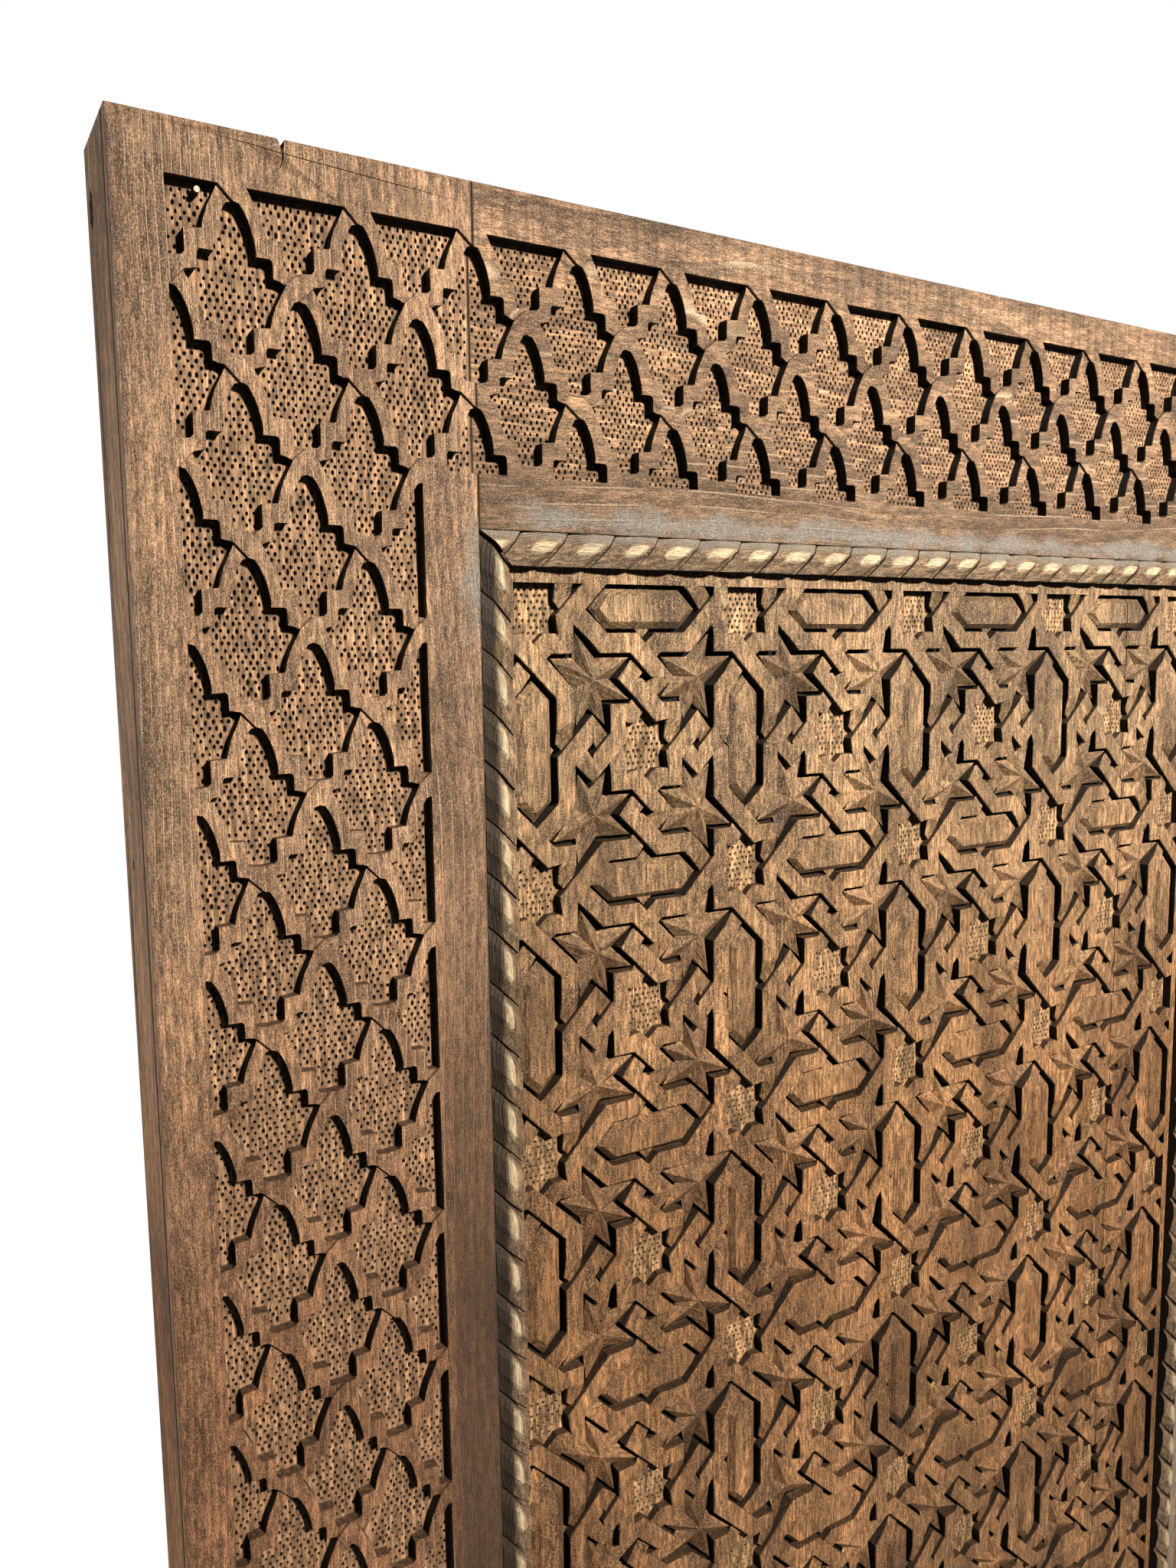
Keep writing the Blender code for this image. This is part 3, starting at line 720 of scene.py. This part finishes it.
def makeStile(outer, direction, edges, columns, rightOf, cracks, notch, seed):
    inner = outer + direction * door["stile"]
    low, high = (min(outer, inner), doorBottom), (max(outer, inner), doorTop)
    lipFrom, lipTo = sorted((inner - direction * mm, inner + direction * door["lip"]))
    lip = ((lipFrom, openBottom + gap), (lipTo, openTop - gap))

    def carved(across, down):
        edge = door["stile"] / mm if direction > 0 and down < railEnd else bandRight
        return net["edgeMargin"] - 0.01 < across < edge + 0.01 and bandTop + 0.02 < down < stileEnd

    plan = netPlan(columns, net["edgeMargin"], rightOf)
    return makePlank(low, high, edges, lip, outer, direction, plan, carved, 6, seed, cracks, notch)


halfPitch = net["stilePitch"] / 2
stileColumns = [(net["edgeMargin"] + k * halfPitch, k % 2 == 0, net["rows"]) for k in range(5)]
bandRight = net["edgeMargin"] + 4 * halfPitch
cornerColumns = stileColumns + [(bandRight + 37.2, False, net["railRows"])]


def topPoint(fromLeft, fromTop):
    return doorLeft + fromLeft * mm, doorTop - fromTop * mm


notchAt = 91.5  # in millimetres, as the cracks are
notch = [topPoint(notchAt + off, down) for off, down in ((2.5, 0), (0.4, 6), (-2.5, 0))]
topCracks = [
    ([topPoint(notchAt + off, down) for off, down in ((0.3, 5.5), (0.8, 10), (-0.3, 15))], 0.5 * mm, 3 * mm),
    ([topPoint(*p) for p in ((52, 5), (70, 6.5), (92, 8.2), (128, 10), (160, 12), (199, 13.5))],
     0.24 * mm, 1.0 * mm),
]
knots = [  # on the left face: (y, from the top, radius, stretch)
    (0.0215, 0.036, 0.0055, 2.2), (0.0255, 0.165, 0.0010, 95), (0.010, 0.405, 0.0016, 2.6),
    (0.0265, 0.46, 0.0009, 130), (-0.012, 0.95, 0.0020, 3.0),
]


def leftRight(index, row):
    # The net runs on over the joint with the rail at the top
    return door["stile"] / mm if index > 3 and row <= net["railRows"] else bandRight


def knotHoles(bm):
    # Opens the left face and shows it with sunk holes
    sideFaces = [f for f in bm.faces if all(abs(v.co.x - doorLeft) < 1e-6 for v in f.verts)]
    bmesh.ops.delete(bm, geom=[f for f in sideFaces if f.calc_area() > 0.05], context="FACES_ONLY")
    back = frontY + net["core"] * mm
    loop = [(-back, doorBottom), (-backY, doorBottom), (-backY, doorTop), (-back, doorTop)]
    spots = [(-y, doorTop - down, radius, stretch) for y, down, radius, stretch in knots]
    merged(bm, dottedFloor(loop, spots, doorLeft, 9 * mm), Matrix.Rotation(math.radians(-90), 4, "Z"))


leftEdges, rightEdges = ("round", "slim", "round", "round"), ("slim", "round", "round", "round")
bm = makeStile(doorLeft, 1, leftEdges, cornerColumns, leftRight, topCracks, notch, 3)
knotHoles(bm)
showPiece(bm, "stileLeftCarved", "stile_left", stileLeftWood)
bm = makeStile(0.0, -1, rightEdges, stileColumns, lambda index, row: bandRight, [], [], 5)
showPiece(bm, "stileRightCarved", "stile_right", stileRightWood)
print("stiles ready")

railCount = 2 * math.floor((openRight - openLeft) / mm / net["railPitch"] - 0.5) + 1
railRight = railCount * net["railPitch"] / 2
railColumns = [(k * net["railPitch"] / 2, k % 2 == 1, net["railRows"]) for k in range(railCount + 1)]
railPlan = netPlan(railColumns, gap / mm, lambda index, row: railRight)
lipInset = door["lip"] + gap


def railCarved(across, down):
    return across < railRight + 0.01 and bandTop + 0.02 < down < railEnd - 0.02


lip = ((openLeft + lipInset, openTop - door["lip"]), (openRight - lipInset, openTop + mm))
bm = makePlank((openLeft + gap, openTop), (openRight - gap, doorTop), ("seam", "seam", "slim", "round"), lip,
               openLeft, 1, railPlan, railCarved, 2, 7)
showPiece(bm, "railTopCarved", "rail_top", railWood)
lip = ((openLeft + lipInset, openBottom - mm), (openRight - lipInset, openBottom + door["lip"]))
bm = makePlank((openLeft + gap, doorBottom), (openRight - gap, openBottom),
               ("seam", "seam", "round", "slim"), lip)
showPiece(bm, "railBottomPlain", "rail_bottom", bottomWood)
print("rails ready")


# The star interlace, in millimetres


lace = {
    "left": 41.6, "right": 46.4, "end": 48.3, "columns": 4, "rows": 7,
    "strap": 13.7, "square": 16.4, "corner": 13.7, "chamfer": 0.5,
    "underDrop": 4.2, "fineDrop": 2.6, "ramp": 22.0,
    "core": 11.0, "channel": 2.9, "starRim": 7.8, "starTipDepth": 3.6, "starTop": 0.1,
    "lozengeRim": 5.6, "lozengeTop": 1.0, "levelBevel": 4.2, "uprightBevel": 6.0,
    "rosette": 8.3, "dotPitch": 4.5, "dotRadius": 1.3, "pit": 2.6, "border": 0.25,
}
halfX = ((openRight - openLeft) / mm - lace["left"] - lace["right"]) / lace["columns"] / 2
halfZ = ((openTop - openBottom) / mm - 2 * lace["end"]) / lace["rows"] / 2
strap, square, corner = lace["strap"], lace["square"], lace["corner"]
axis = square + strap / 2
near = square + strap
slant = strap / math.sqrt(2)
crossX, crossZ = halfX / 2 - corner, halfZ / 2 - corner
bendX, bendZ = crossX - axis, crossZ - axis

# Each strap of a quarter mesh: its centre line, and whether its start and its end pass under
strapPaths = [
    ([(crossX, 0), (crossX + axis, axis), (halfX - bendZ, axis), (halfX, crossZ)], True, False),
    ([(0, crossZ), (axis, crossZ + axis), (axis, halfZ - bendX), (crossX, halfZ)], False, True),
    ([(0, crossZ), (bendZ, axis), (axis, axis), (axis, bendX), (crossX, 0)], True, False),
    ([(halfX, halfZ - crossZ), (halfX - bendZ, halfZ - axis), (halfX - axis, halfZ - axis),
      (halfX - axis, halfZ - bendX), (halfX - crossX, halfZ)], True, False),
    ([(halfX, crossZ), (halfX - corner, crossZ + corner), (halfX, halfZ - crossZ)], True, False),
    ([(crossX, halfZ), (crossX + corner, halfZ - corner), (halfX - crossX, halfZ)], False, True),
]
starTipX, starTipZ = halfX - slant + crossZ - near, halfZ - slant + crossX - near
starLoop = [
    (near, near - crossX + slant), (near + crossX - slant, near), (starTipX, near),
    (halfX - corner - slant, crossZ + corner), (starTipX, halfZ - near), (halfX - near, halfZ - near),
    (halfX - near, starTipZ), (crossX + corner, halfZ - corner - slant), (near, starTipZ),
    (near, near + crossZ - slant), (near + slant - crossZ, near), (near, near),
]


def strapStations(path, dropStart, dropEnd):
    # Places along a strap: (point, across, depth, drilled); the rise from a crossing runs on past a bend
    corners = [Vector(p) for p in path]
    steps = [b - a for a, b in zip(corners, corners[1:])]
    dirs = [s.normalized() for s in steps]
    starts = [sum(s.length for s in steps[:k]) for k in range(len(corners))]
    whole, half, ramp = starts[-1], strap / 2, lace["ramp"]

    def depth(s):
        share = min(1, max(0, (ramp - s) / (ramp - half)))
        other = min(1, max(0, (ramp - whole + s) / (ramp - half)))
        return dropStart * share + dropEnd * other

    def side(k):
        return Vector((-dirs[k][1], dirs[k][0]))

    rows = [(s, starts.index(s), 0) for s in starts[1:-1]]
    wanted = [0, half - 0.3] + ([ramp] if dropStart else [])
    wanted += [whole, whole - half + 0.3] + ([whole - ramp] if dropEnd else [])
    for s in wanted:
        k = max(n for n in range(len(dirs)) if starts[n] <= s + 1e-6)
        for corner in (k, k + 1):
            if 0 < corner < len(dirs):
                room = half * math.tan(dirs[corner - 1].angle(dirs[corner]) / 2) + 0.3
                if abs(s - starts[corner]) < room:
                    s = starts[corner] + (room if s >= starts[corner] else -room)
        rows.append((s, None, k))
    stations = []
    for s, corner, k in sorted(rows, key=lambda row: row[0]):
        if corner is None:
            stations.append((corners[k] + dirs[k] * (s - starts[k]), side(k), depth(s), 0))
            continue
        mitre = (side(corner - 1) + side(corner)).normalized()
        bend = dirs[corner - 1].cross(dirs[corner])
        drilled = math.copysign(0.25, bend) if abs(bend) > 0.9 else 0
        stations.append((corners[corner], mitre / mitre.dot(side(corner)), depth(s), drilled))
    return stations


def sunkPoint(place, x, z, depth):
    px, pz = place(x, z)
    return px, fieldY + depth * mm, pz


def makeStrap(stations, place):
    bm = bmesh.new()
    half, chamfer = strap / 2, lace["chamfer"]
    offs = [(-half, chamfer), (-half + chamfer, 0), (half - chamfer, 0), (half, chamfer)]

    def spot(i, j):
        p, across, depth, drilled = stations[j]
        off, down = offs[i]
        if drilled * off > 0:
            off *= 1 - abs(drilled)
        q = p + across * off
        return sunkPoint(place, q[0], q[1], depth + down)

    addSheet(bm, 4, len(stations), spot)
    thickened(bm, bm.faces[:], fieldY + lace["core"] * mm)
    return bm


def makeIsland(loop, place, channel, rimDepth):
    # A raised body inside a channel; gives the mesh and its top face
    bm = bmesh.new()
    face = bm.faces.new([bm.verts.new(sunkPoint(place, x, z, rimDepth)) for x, z in loop])
    face.normal_update()
    if face.normal.y > 0:
        face.normal_flip()
    even = {"use_even_offset": True, "use_boundary": True}
    ring = bmesh.ops.inset_region(bm, faces=[face], thickness=channel * mm, **even)["faces"]
    bmesh.ops.delete(bm, geom=ring, context="FACES")
    dropLoose(bm)
    top = bm.faces[:][0]
    under = bmesh.ops.duplicate(bm, geom=[top])
    lower = [f for f in under["geom"] if isinstance(f, bmesh.types.BMFace)][0]
    for vert in lower.verts:
        vert.co.y = fieldY + lace["core"] * mm
    for (a, c), (b, d) in sides(list(zip(top.verts, lower.verts))):
        bm.faces.new((a, b, d, c))
    return bm, top


def makeStar(place, dice):
    # Ridges run out to the tips and valleys to the notches
    bm, top = makeIsland(starLoop, place, lace["channel"] * dice.uniform(0.9, 1.15), lace["starRim"])
    corners = [(k, Vector(place(*p))) for k, p in enumerate(starLoop)]
    for vert in top.verts:
        at = Vector((vert.co.x, vert.co.z))
        k = min(corners, key=lambda c: (c[1] - at).length)[0]
        depth = lace["starTipDepth"] if k % 2 == 0 else lace["starRim"]
        vert.co.y = fieldY + depth * dice.uniform(0.85, 1.15) * mm
    poked = bmesh.ops.poke(bm, faces=[top])["verts"][0]
    middleU, middleW = halfX / 2 + dice.uniform(-1.3, 1.3), halfZ / 2 + dice.uniform(-1.3, 1.3)
    poked.co = sunkPoint(place, middleU, middleW, lace["starTop"] * dice.uniform(0.6, 1.6))
    return bm


def laid(points, upright):
    return [(z, x) if upright else (x, z) for x, z in points]


def makeLozenge(long, spikeHalf, upright, place, dice):
    # A hexagon with sloping edges, and a flat spike in the middle of each long side
    short = long - square
    loop = [(long, 0), (short, square), (-short, square), (-long, 0), (-short, -square), (short, -square)]
    bm, top = makeIsland(laid(loop, upright), place, lace["channel"], lace["lozengeRim"])
    bevel = lace["uprightBevel" if upright else "levelBevel"] * dice.uniform(0.75, 1.1)
    bmesh.ops.inset_region(bm, faces=[top], thickness=bevel * mm, use_even_offset=True)
    for vert in top.verts:
        vert.co.y = fieldY + lace["lozengeTop"] * dice.uniform(0.7, 1.3) * mm
    drift = dice.uniform(3, 9) * mm
    along = 2 if upright else 0
    for vert in top.verts:
        if abs(vert.co[along]) > (long - bevel * 1.6) * mm:
            vert.co[along] -= math.copysign(drift, vert.co[along])
    base, tip = square - 5.0, square + spikeHalf - lace["channel"] * 1.41
    wide = tip - base
    for way in (1, -1):
        spike = bmesh.new()
        points = laid([(-wide, way * base), (wide, way * base), (0, way * tip)], upright)
        depths = [lace["lozengeRim"] + more for more in (0.2, 0.2, 0.9)]
        verts = [spike.verts.new(sunkPoint(place, x, z, depth)) for (x, z), depth in zip(points, depths)]
        thickened(spike, [spike.faces.new(verts)], fieldY + lace["core"] * mm)
        merged(bm, spike)
    return bm


def makeRosette(place, dice):
    tipX, tipZ = crossX - slant, crossZ - slant
    quarter = [(tipX, 0), (square, tipX - square), (square, square), (tipZ - square, square), (0, tipZ)]
    loop = quarter + [(-x, z) for x, z in reversed(quarter[:-1])]
    loop += [(x, -z) for x, z in reversed(loop[1:-1])]
    pitch = lace["dotPitch"]
    spots = []
    for i in range(-5, 6):
        for j in range(-6, 7):
            x = (i + (0.5 if j % 2 else 0)) * pitch + dice.uniform(-0.5, 0.5)
            z = j * pitch * 0.92 + dice.uniform(-0.5, 0.5)
            if dice.random() < 0.10 or not within(loop, x, z) or rimDistance(loop, x, z) < 1.6:
                continue
            radius = lace["dotRadius"] * dice.uniform(0.8, 1.15) * mm
            spots.append((*place(x, z), radius, dice.uniform(1.0, 1.35)))
    ground = [place(x, z) for x, z in ((-22, -25), (22, -25), (22, 25), (-22, 25))]
    return dottedFloor(ground, spots, fieldY + lace["rosette"] * mm, lace["pit"] * mm)


def placeOn(sideX, sideZ):
    return lambda u, w: (sideX * u * mm, -sideZ * w * mm)


def endDrop(under, way):
    # How far a strap is sunk where it passes under: less to the right of a crossing
    return (lace["underDrop"] if way < 0 else lace["fineDrop"]) if under else 0


def makeQuarter(sideX, sideZ):
    part = bmesh.new()
    for path, underStart, underEnd in strapPaths:
        if sideX * sideZ < 0:
            underStart, underEnd = not underStart, not underEnd
        dropStart = endDrop(underStart, sideX * (path[1][0] - path[0][0]))
        dropEnd = endDrop(underEnd, sideX * (path[-2][0] - path[-1][0]))
        merged(part, makeStrap(strapStations(path, dropStart, dropEnd), placeOn(sideX, sideZ)))
    return part


def makeField():
    field = bmesh.new()
    dice = random.Random(11)
    quarters = {(sideX, sideZ): makeQuarter(sideX, sideZ) for sideX in (1, -1) for sideZ in (1, -1)}
    columns, rows = lace["columns"], lace["rows"]
    left, top = openLeft + lace["left"] * mm, openTop - lace["end"] * mm
    plain = placeOn(1, 1)

    def at(column, row):
        # In half meshes from the first rosette
        return Matrix.Translation((left + column * halfX * mm, 0, top - row * halfZ * mm))

    for column in range(columns + 1):
        for row in range(rows + 1):
            here = at(2 * column, 2 * row)
            for (sideX, sideZ), part in quarters.items():
                merged(field, part, here, again=True)
                if 0 <= column + (sideX - 1) / 2 < columns and 0 <= row + (sideZ - 1) / 2 < rows:
                    merged(field, makeStar(placeOn(sideX, sideZ), dice), here)
            if column < columns:
                part = makeLozenge(halfX - crossX - slant, crossZ - slant - square, False, plain, dice)
                merged(field, part, at(2 * column + 1, 2 * row))
            if row < rows:
                part = makeLozenge(halfZ - crossZ - slant, crossX - slant - square, True, plain, dice)
                merged(field, part, at(2 * column, 2 * row + 1))
            merged(field, makeRosette(plain, dice), here)
            if column < columns and row < rows:
                merged(field, makeRosette(plain, dice), at(2 * column + 1, 2 * row + 1))
    right = left + 2 * columns * halfX * mm
    bottom = top - 2 * rows * halfZ * mm
    reach = square * mm
    cutAway(field, (left - reach, 0, 0), (-1, 0, 0), False)
    cutAway(field, (right + reach, 0, 0), (1, 0, 0), False)
    cutAway(field, (0, 0, top + reach), (0, 0, 1), False)
    cutAway(field, (0, 0, bottom - reach), (0, 0, -1), False)
    handCut(field, 0.28 * mm, 0.35 * mm, 45, (-9, fieldY - 1, -9), (9, fieldY + 9.6 * mm, 9))
    edge = fieldY + lace["border"] * mm
    core = fieldY + lace["core"] * mm
    lowX, highX = openLeft + gap, openRight - gap
    lowZ, highZ = openBottom + gap, openTop - gap
    addBox(field, (lowX, edge, lowZ), (left - reach, core, highZ))
    addBox(field, (right + reach, edge, lowZ), (highX, core, highZ))
    addBox(field, (left - reach, edge, top + reach), (right + reach, core, highZ))
    addBox(field, (left - reach, edge, lowZ), (right + reach, core, bottom - reach))
    return field


# Boards of (share of the width, sunk by millimetres, heart's place from the middle)
boards = [(0.154, 0.0, 0.03), (0.358, 0.15, -0.06), (0.332, 0.6, 0.10), (0.156, 0.2, -0.05)]
field = makeField()
bmesh.ops.recalc_face_normals(field, faces=field.faces)
print("interlace ready")
edge = openLeft
fieldMesh = bpy.data.meshes.new("wholeField")
field.to_mesh(fieldMesh)
field.free()
for number, (share, sunk, heartOff) in enumerate(boards):
    nextEdge = edge + share * (openRight - openLeft)
    low = edge + (gap if number == 0 else gap / 2)
    high = nextEdge - (gap if number == 3 else gap / 2)
    bm = bmesh.new()
    bm.from_mesh(fieldMesh)
    if number > 0:
        cutAway(bm, (low, 0, 0), (-1, 0, 0))
    if number < 3:
        cutAway(bm, (high, 0, 0), (1, 0, 0))
    for vert in bm.verts:
        if vert.co.y < fieldY + 10 * mm:
            vert.co.y += sunk * mm
    boardLow = (low, fieldY + lace["core"] * mm, openBottom + gap)
    addBox(bm, boardLow, (high, fieldY + door["boardThickness"], openTop - gap))
    look = {**boardLook, "heart": ((low + high) / 2 + heartOff, 0.055, 0)}
    material = oldWood(f"boardWood{number + 1}", look)
    showPiece(bm, f"boardCarved{number + 1}", f"board_{number + 1}", material)
    edge = nextEdge
bpy.data.meshes.remove(fieldMesh)
print("boards ready")


# The rope mouldings, in millimetres; a section runs in from the opening's edge

rope = {
    "section": [(0.3, 7.0), (3.0, 9.3), (5.2, 11.4), (7.6, 13.8), (9.6, 14.0), (12.8, 13.7), (14.6, 12.4),
                (18.0, 10.8), (22.0, 9.0)],
    "crest": 9.8, "turn": 36.0, "slit": 7.5, "opening": 4.6, "facet": 4.4, "gentle": 11.5, "edgeShare": 0.6,
    "plainEnds": 44,
}
ropeLook = {
    "dark": (0.125, 0.076, 0.042, 1), "light": (0.270, 0.172, 0.097, 1), "pale": (0.66, 0.53, 0.35, 1),
    "mottle": 0.42, "paleSpeck": 0.55, "ringWidth": 0.0024, "ringLine": 0.30, "rough": 0.50, "wearAndHighlight": 0.85,
    "sunk": (0.110, 0.075, 0.048, 1), "sunkFrom": 0.001, "sunkShare": 0.6, "deep": 0.010, "pitFrom": 0.5,
    "front": fieldY - 0.014, "wallTo": 0.014, "wallShadeShare": 0.95, "wallFrom": 0.0015, "outer": [],
}


def makeRope(length, lean, place, seed):
    # Each turn has a steep facet by a slit that opens inwards, and a long gentle one
    dice = random.Random(seed)
    section = rope["section"]
    turns = math.floor((length - rope["plainEnds"]) / rope["turn"])
    columns = [(-length, 0, 0)]
    for turn in range(-1, turns + 1):
        middle = (turn - (turns - 1) / 2) * rope["turn"]
        jitter = dice.uniform(-0.8, 0.8)
        slit = rope["slit"] * dice.uniform(0.85, 1.05)
        facet = rope["facet"] * dice.uniform(0.8, 1.2)
        gentle = rope["gentle"] * dice.uniform(0.8, 1.15)
        profile = ((-9, 0.3, 0), (-1.5, 2.6, 1), (-0.9, slit * 0.5, 1), (-0.3, slit, 0.6), (0.4, slit, 0),
                   (0.7, facet, 0), (gentle, 2.0, 0), (gentle + 4.5, 0, 0))
        columns += [(middle + jitter + along, deep, wide) for along, deep, wide in profile]
    columns.append((length, 0, 0))

    def spot(i, j):
        inset, height = section[i]
        along, deep, wide = columns[j]
        share = 1 - (1 - rope["edgeShare"]) * min(1, abs(inset - rope["crest"]) / 10)
        slide = along + lean * (inset - rope["crest"]) - wide * rope["opening"] * max(0, inset - 6) / 16
        return place(slide * mm, inset * mm, (height - deep * share) * mm)

    bm = bmesh.new()
    addSheet(bm, len(section), len(columns), spot)
    thickened(bm, bm.faces[:], place(0, 0, gap)[1])
    for way in (-1, 1):
        point = Vector(place(way * (length * mm / 2 - gap), 0, 0))
        along = Vector(place(way, 0, 0)) - Vector(place(0, 0, 0))
        inwards = Vector(place(0, 1, 0)) - Vector(place(0, 0, 0))
        cutAway(bm, point, (along + inwards).normalized())
    return bm


middleX, middleZ = (openLeft + openRight) / 2, (openTop + openBottom) / 2
openWide, openTall = openRight - openLeft, openTop - openBottom
ropes = {
    "Top": (openWide, -1, lambda a, i, h: (middleX + a, fieldY - h, openTop - i),
            {"level": True, "heart": (openTop + 0.03, 0.03, 0), "smear": (2, openTop - 0.002, 0.012),
             "smearTone": (0.150, 0.132, 0.104, 1), "smearPale": (0.300, 0.264, 0.208, 1)}),
    # On the bottom rope the smear is nearly black along the outer edge
    "Bottom": (openWide, 1, lambda a, i, h: (middleX + a, fieldY - h, openBottom + i),
               {"level": True, "heart": (openBottom - 0.03, 0.03, 0), "smear": (2, openBottom + 0.002, 0.012),
                "smearTone": (0.040, 0.042, 0.046, 1), "smearPale": (0.080, 0.084, 0.092, 1)}),
    # On the side ropes the stain along the outer edge is painted shade on the outer slope
    "Left": (openTall, -1, lambda a, i, h: (openLeft + i, fieldY - h, middleZ + a),
             {"heart": (openLeft - 0.02, 0.03, 0), "stainsAndShade": [(0, openLeft, 0.012, 0.85)]}),
    "Right": (openTall, 1, lambda a, i, h: (openRight - i, fieldY - h, middleZ + a),
              {"heart": (openRight + 0.02, 0.03, 0), "stainsAndShade": [(0, openRight, 0.012, 0.85)]}),
}
for seed, (side, (length, lean, place, own)) in enumerate(ropes.items()):
    bm = makeRope(length / mm, lean, place, 20 + seed)
    handLow, handHigh = (openLeft + mm, -9, openBottom + mm), (openRight - mm, fieldY - 2 * mm, openTop - mm)
    handCut(bm, 0.2 * mm, 0.3 * mm, 90, handLow, handHigh)
    material = oldWood(f"ropeWood{side}", {**ropeLook, **own})
    showPiece(bm, f"rope{side}", f"moulding_{side.lower()}", material)
print("ropes ready")


# The peg in the first cell

peg = {"fromSide": 44.6, "fromTop": 35.5, "proud": 0.1, "radius": 1.95, "taper": 0.86}
pegLook = {
    **frameLook, "dark": (0.60, 0.48, 0.32, 1), "light": (0.80, 0.70, 0.52, 1), "pale": (0.86, 0.78, 0.62, 1),
    "sunk": (0.35, 0.24, 0.14, 1), "sunkFrom": 0.0005, "sunkShare": 0.6, "deep": 0.009, "pitFrom": 0.5,
    "heart": (doorLeft + 0.04, 0.0, 0), "ringWidth": 0.002,
}
bm = bmesh.new()
pegLength = net["floor"] - peg["proud"]
pegX, pegZ = topPoint(peg["fromSide"], peg["fromTop"])
pegPlace = Matrix.Translation((pegX, frontY + (peg["proud"] + pegLength / 2) * mm, pegZ))
bmesh.ops.create_cone(
    bm, cap_ends=True, segments=14, radius1=peg["radius"] * mm, radius2=peg["radius"] * peg["taper"] * mm,
    depth=pegLength * mm, matrix=pegPlace @ Matrix.Rotation(math.radians(90), 4, "X"),
)
showPiece(bm, "pegHead", "peg", oldWood("pegWood", pegLook))
print("peg ready")


# Studio: floor, lights, world and the camera of the photograph

studio = {
    "floor": 3.6, "floorTone": (0.72, 0.71, 0.70, 1), "worldLight": 0.016, "worldSeen": 1.0, "gamma": 0.8,
}


def addItem(name, data, place):
    item = bpy.data.objects.new(name, data)
    bpy.context.scene.collection.objects.link(item)
    item.location = place
    return item


def areaLight(name, place, towards, size, power, colour, spread):
    lamp = bpy.data.lights.new(name, "AREA")
    lamp.size = size
    lamp.energy = power
    lamp.color = colour
    lamp.spread = math.radians(spread)
    item = addItem(name, lamp, place)
    item.rotation_mode = "QUATERNION"
    item.rotation_quaternion = (Vector(towards) - Vector(place)).to_track_quat("-Z", "Y")


bm = bmesh.new()
bmesh.ops.create_grid(bm, x_segments=1, y_segments=1, size=studio["floor"] / 2)
floorMesh = bpy.data.meshes.new("floor")
bm.to_mesh(floorMesh)
bm.free()
floorPaint = bpy.data.materials.new("floor")
floorPaint.use_nodes = True
floorShader = floorPaint.node_tree.nodes["Principled BSDF"]
feed(floorPaint.node_tree, floorShader, {"Base Color": studio["floorTone"], "Roughness": 0.9})
floorMesh.materials.append(floorPaint)
addItem("floor", floorMesh, (-0.6, -0.6, doorBottom - 0.0005))

areaLight("key", (-0.22, -3.0, 2.15), (-0.50, 0, 0.63), 0.30, 56, (1.0, 0.985, 0.955), 74)
areaLight("fill", (-3.2, 0.6, 0.9), (-1.2, 0, 0.4), 0.8, 20, (1.0, 0.97, 0.94), 100)
areaLight("right", (2.0, 0.9, 1.0), (0, 0, 0.2), 0.8, 9, (1.0, 0.97, 0.94), 100)
areaLight("back", (-0.3, 3.2, 1.6), (-0.6, 0, 0), 1.5, 60, (1.0, 0.97, 0.93), 140)

world = bpy.data.worlds.new("studio")
bpy.context.scene.world = world
world.use_nodes = True
tree = world.node_tree
seen = addNode(tree, "ShaderNodeLightPath", {})["Is Camera Ray"]
strength = mapRange(tree, seen, 0.0, 1.0, studio["worldLight"], studio["worldSeen"])
feed(tree, tree.nodes["Background"], {"Strength": strength, "Color": (1, 1, 1, 1)})
bpy.context.scene.view_settings.view_transform = "Standard"
bpy.context.scene.view_settings.gamma = studio["gamma"]

cameraData = bpy.data.cameras.new("camera")
cameraData.lens = 26.37
cameraData.clip_start = 0.02
camera = addItem("camera", cameraData, (0, 0, 0))
rightWay, downWay = Vector((0.8560, -0.5168, -0.0132)), Vector((-0.0703, -0.0912, -0.9933))
ahead = Vector((0.5122, 0.8512, -0.1144))
turnTo = Matrix((rightWay, -downWay, -ahead)).transposed().to_quaternion().to_matrix().to_4x4()
camera.matrix_world = Matrix.Translation((-1.3253, -0.695, 0.6923)) @ turnTo
bpy.context.scene.camera = camera
print("studio ready")
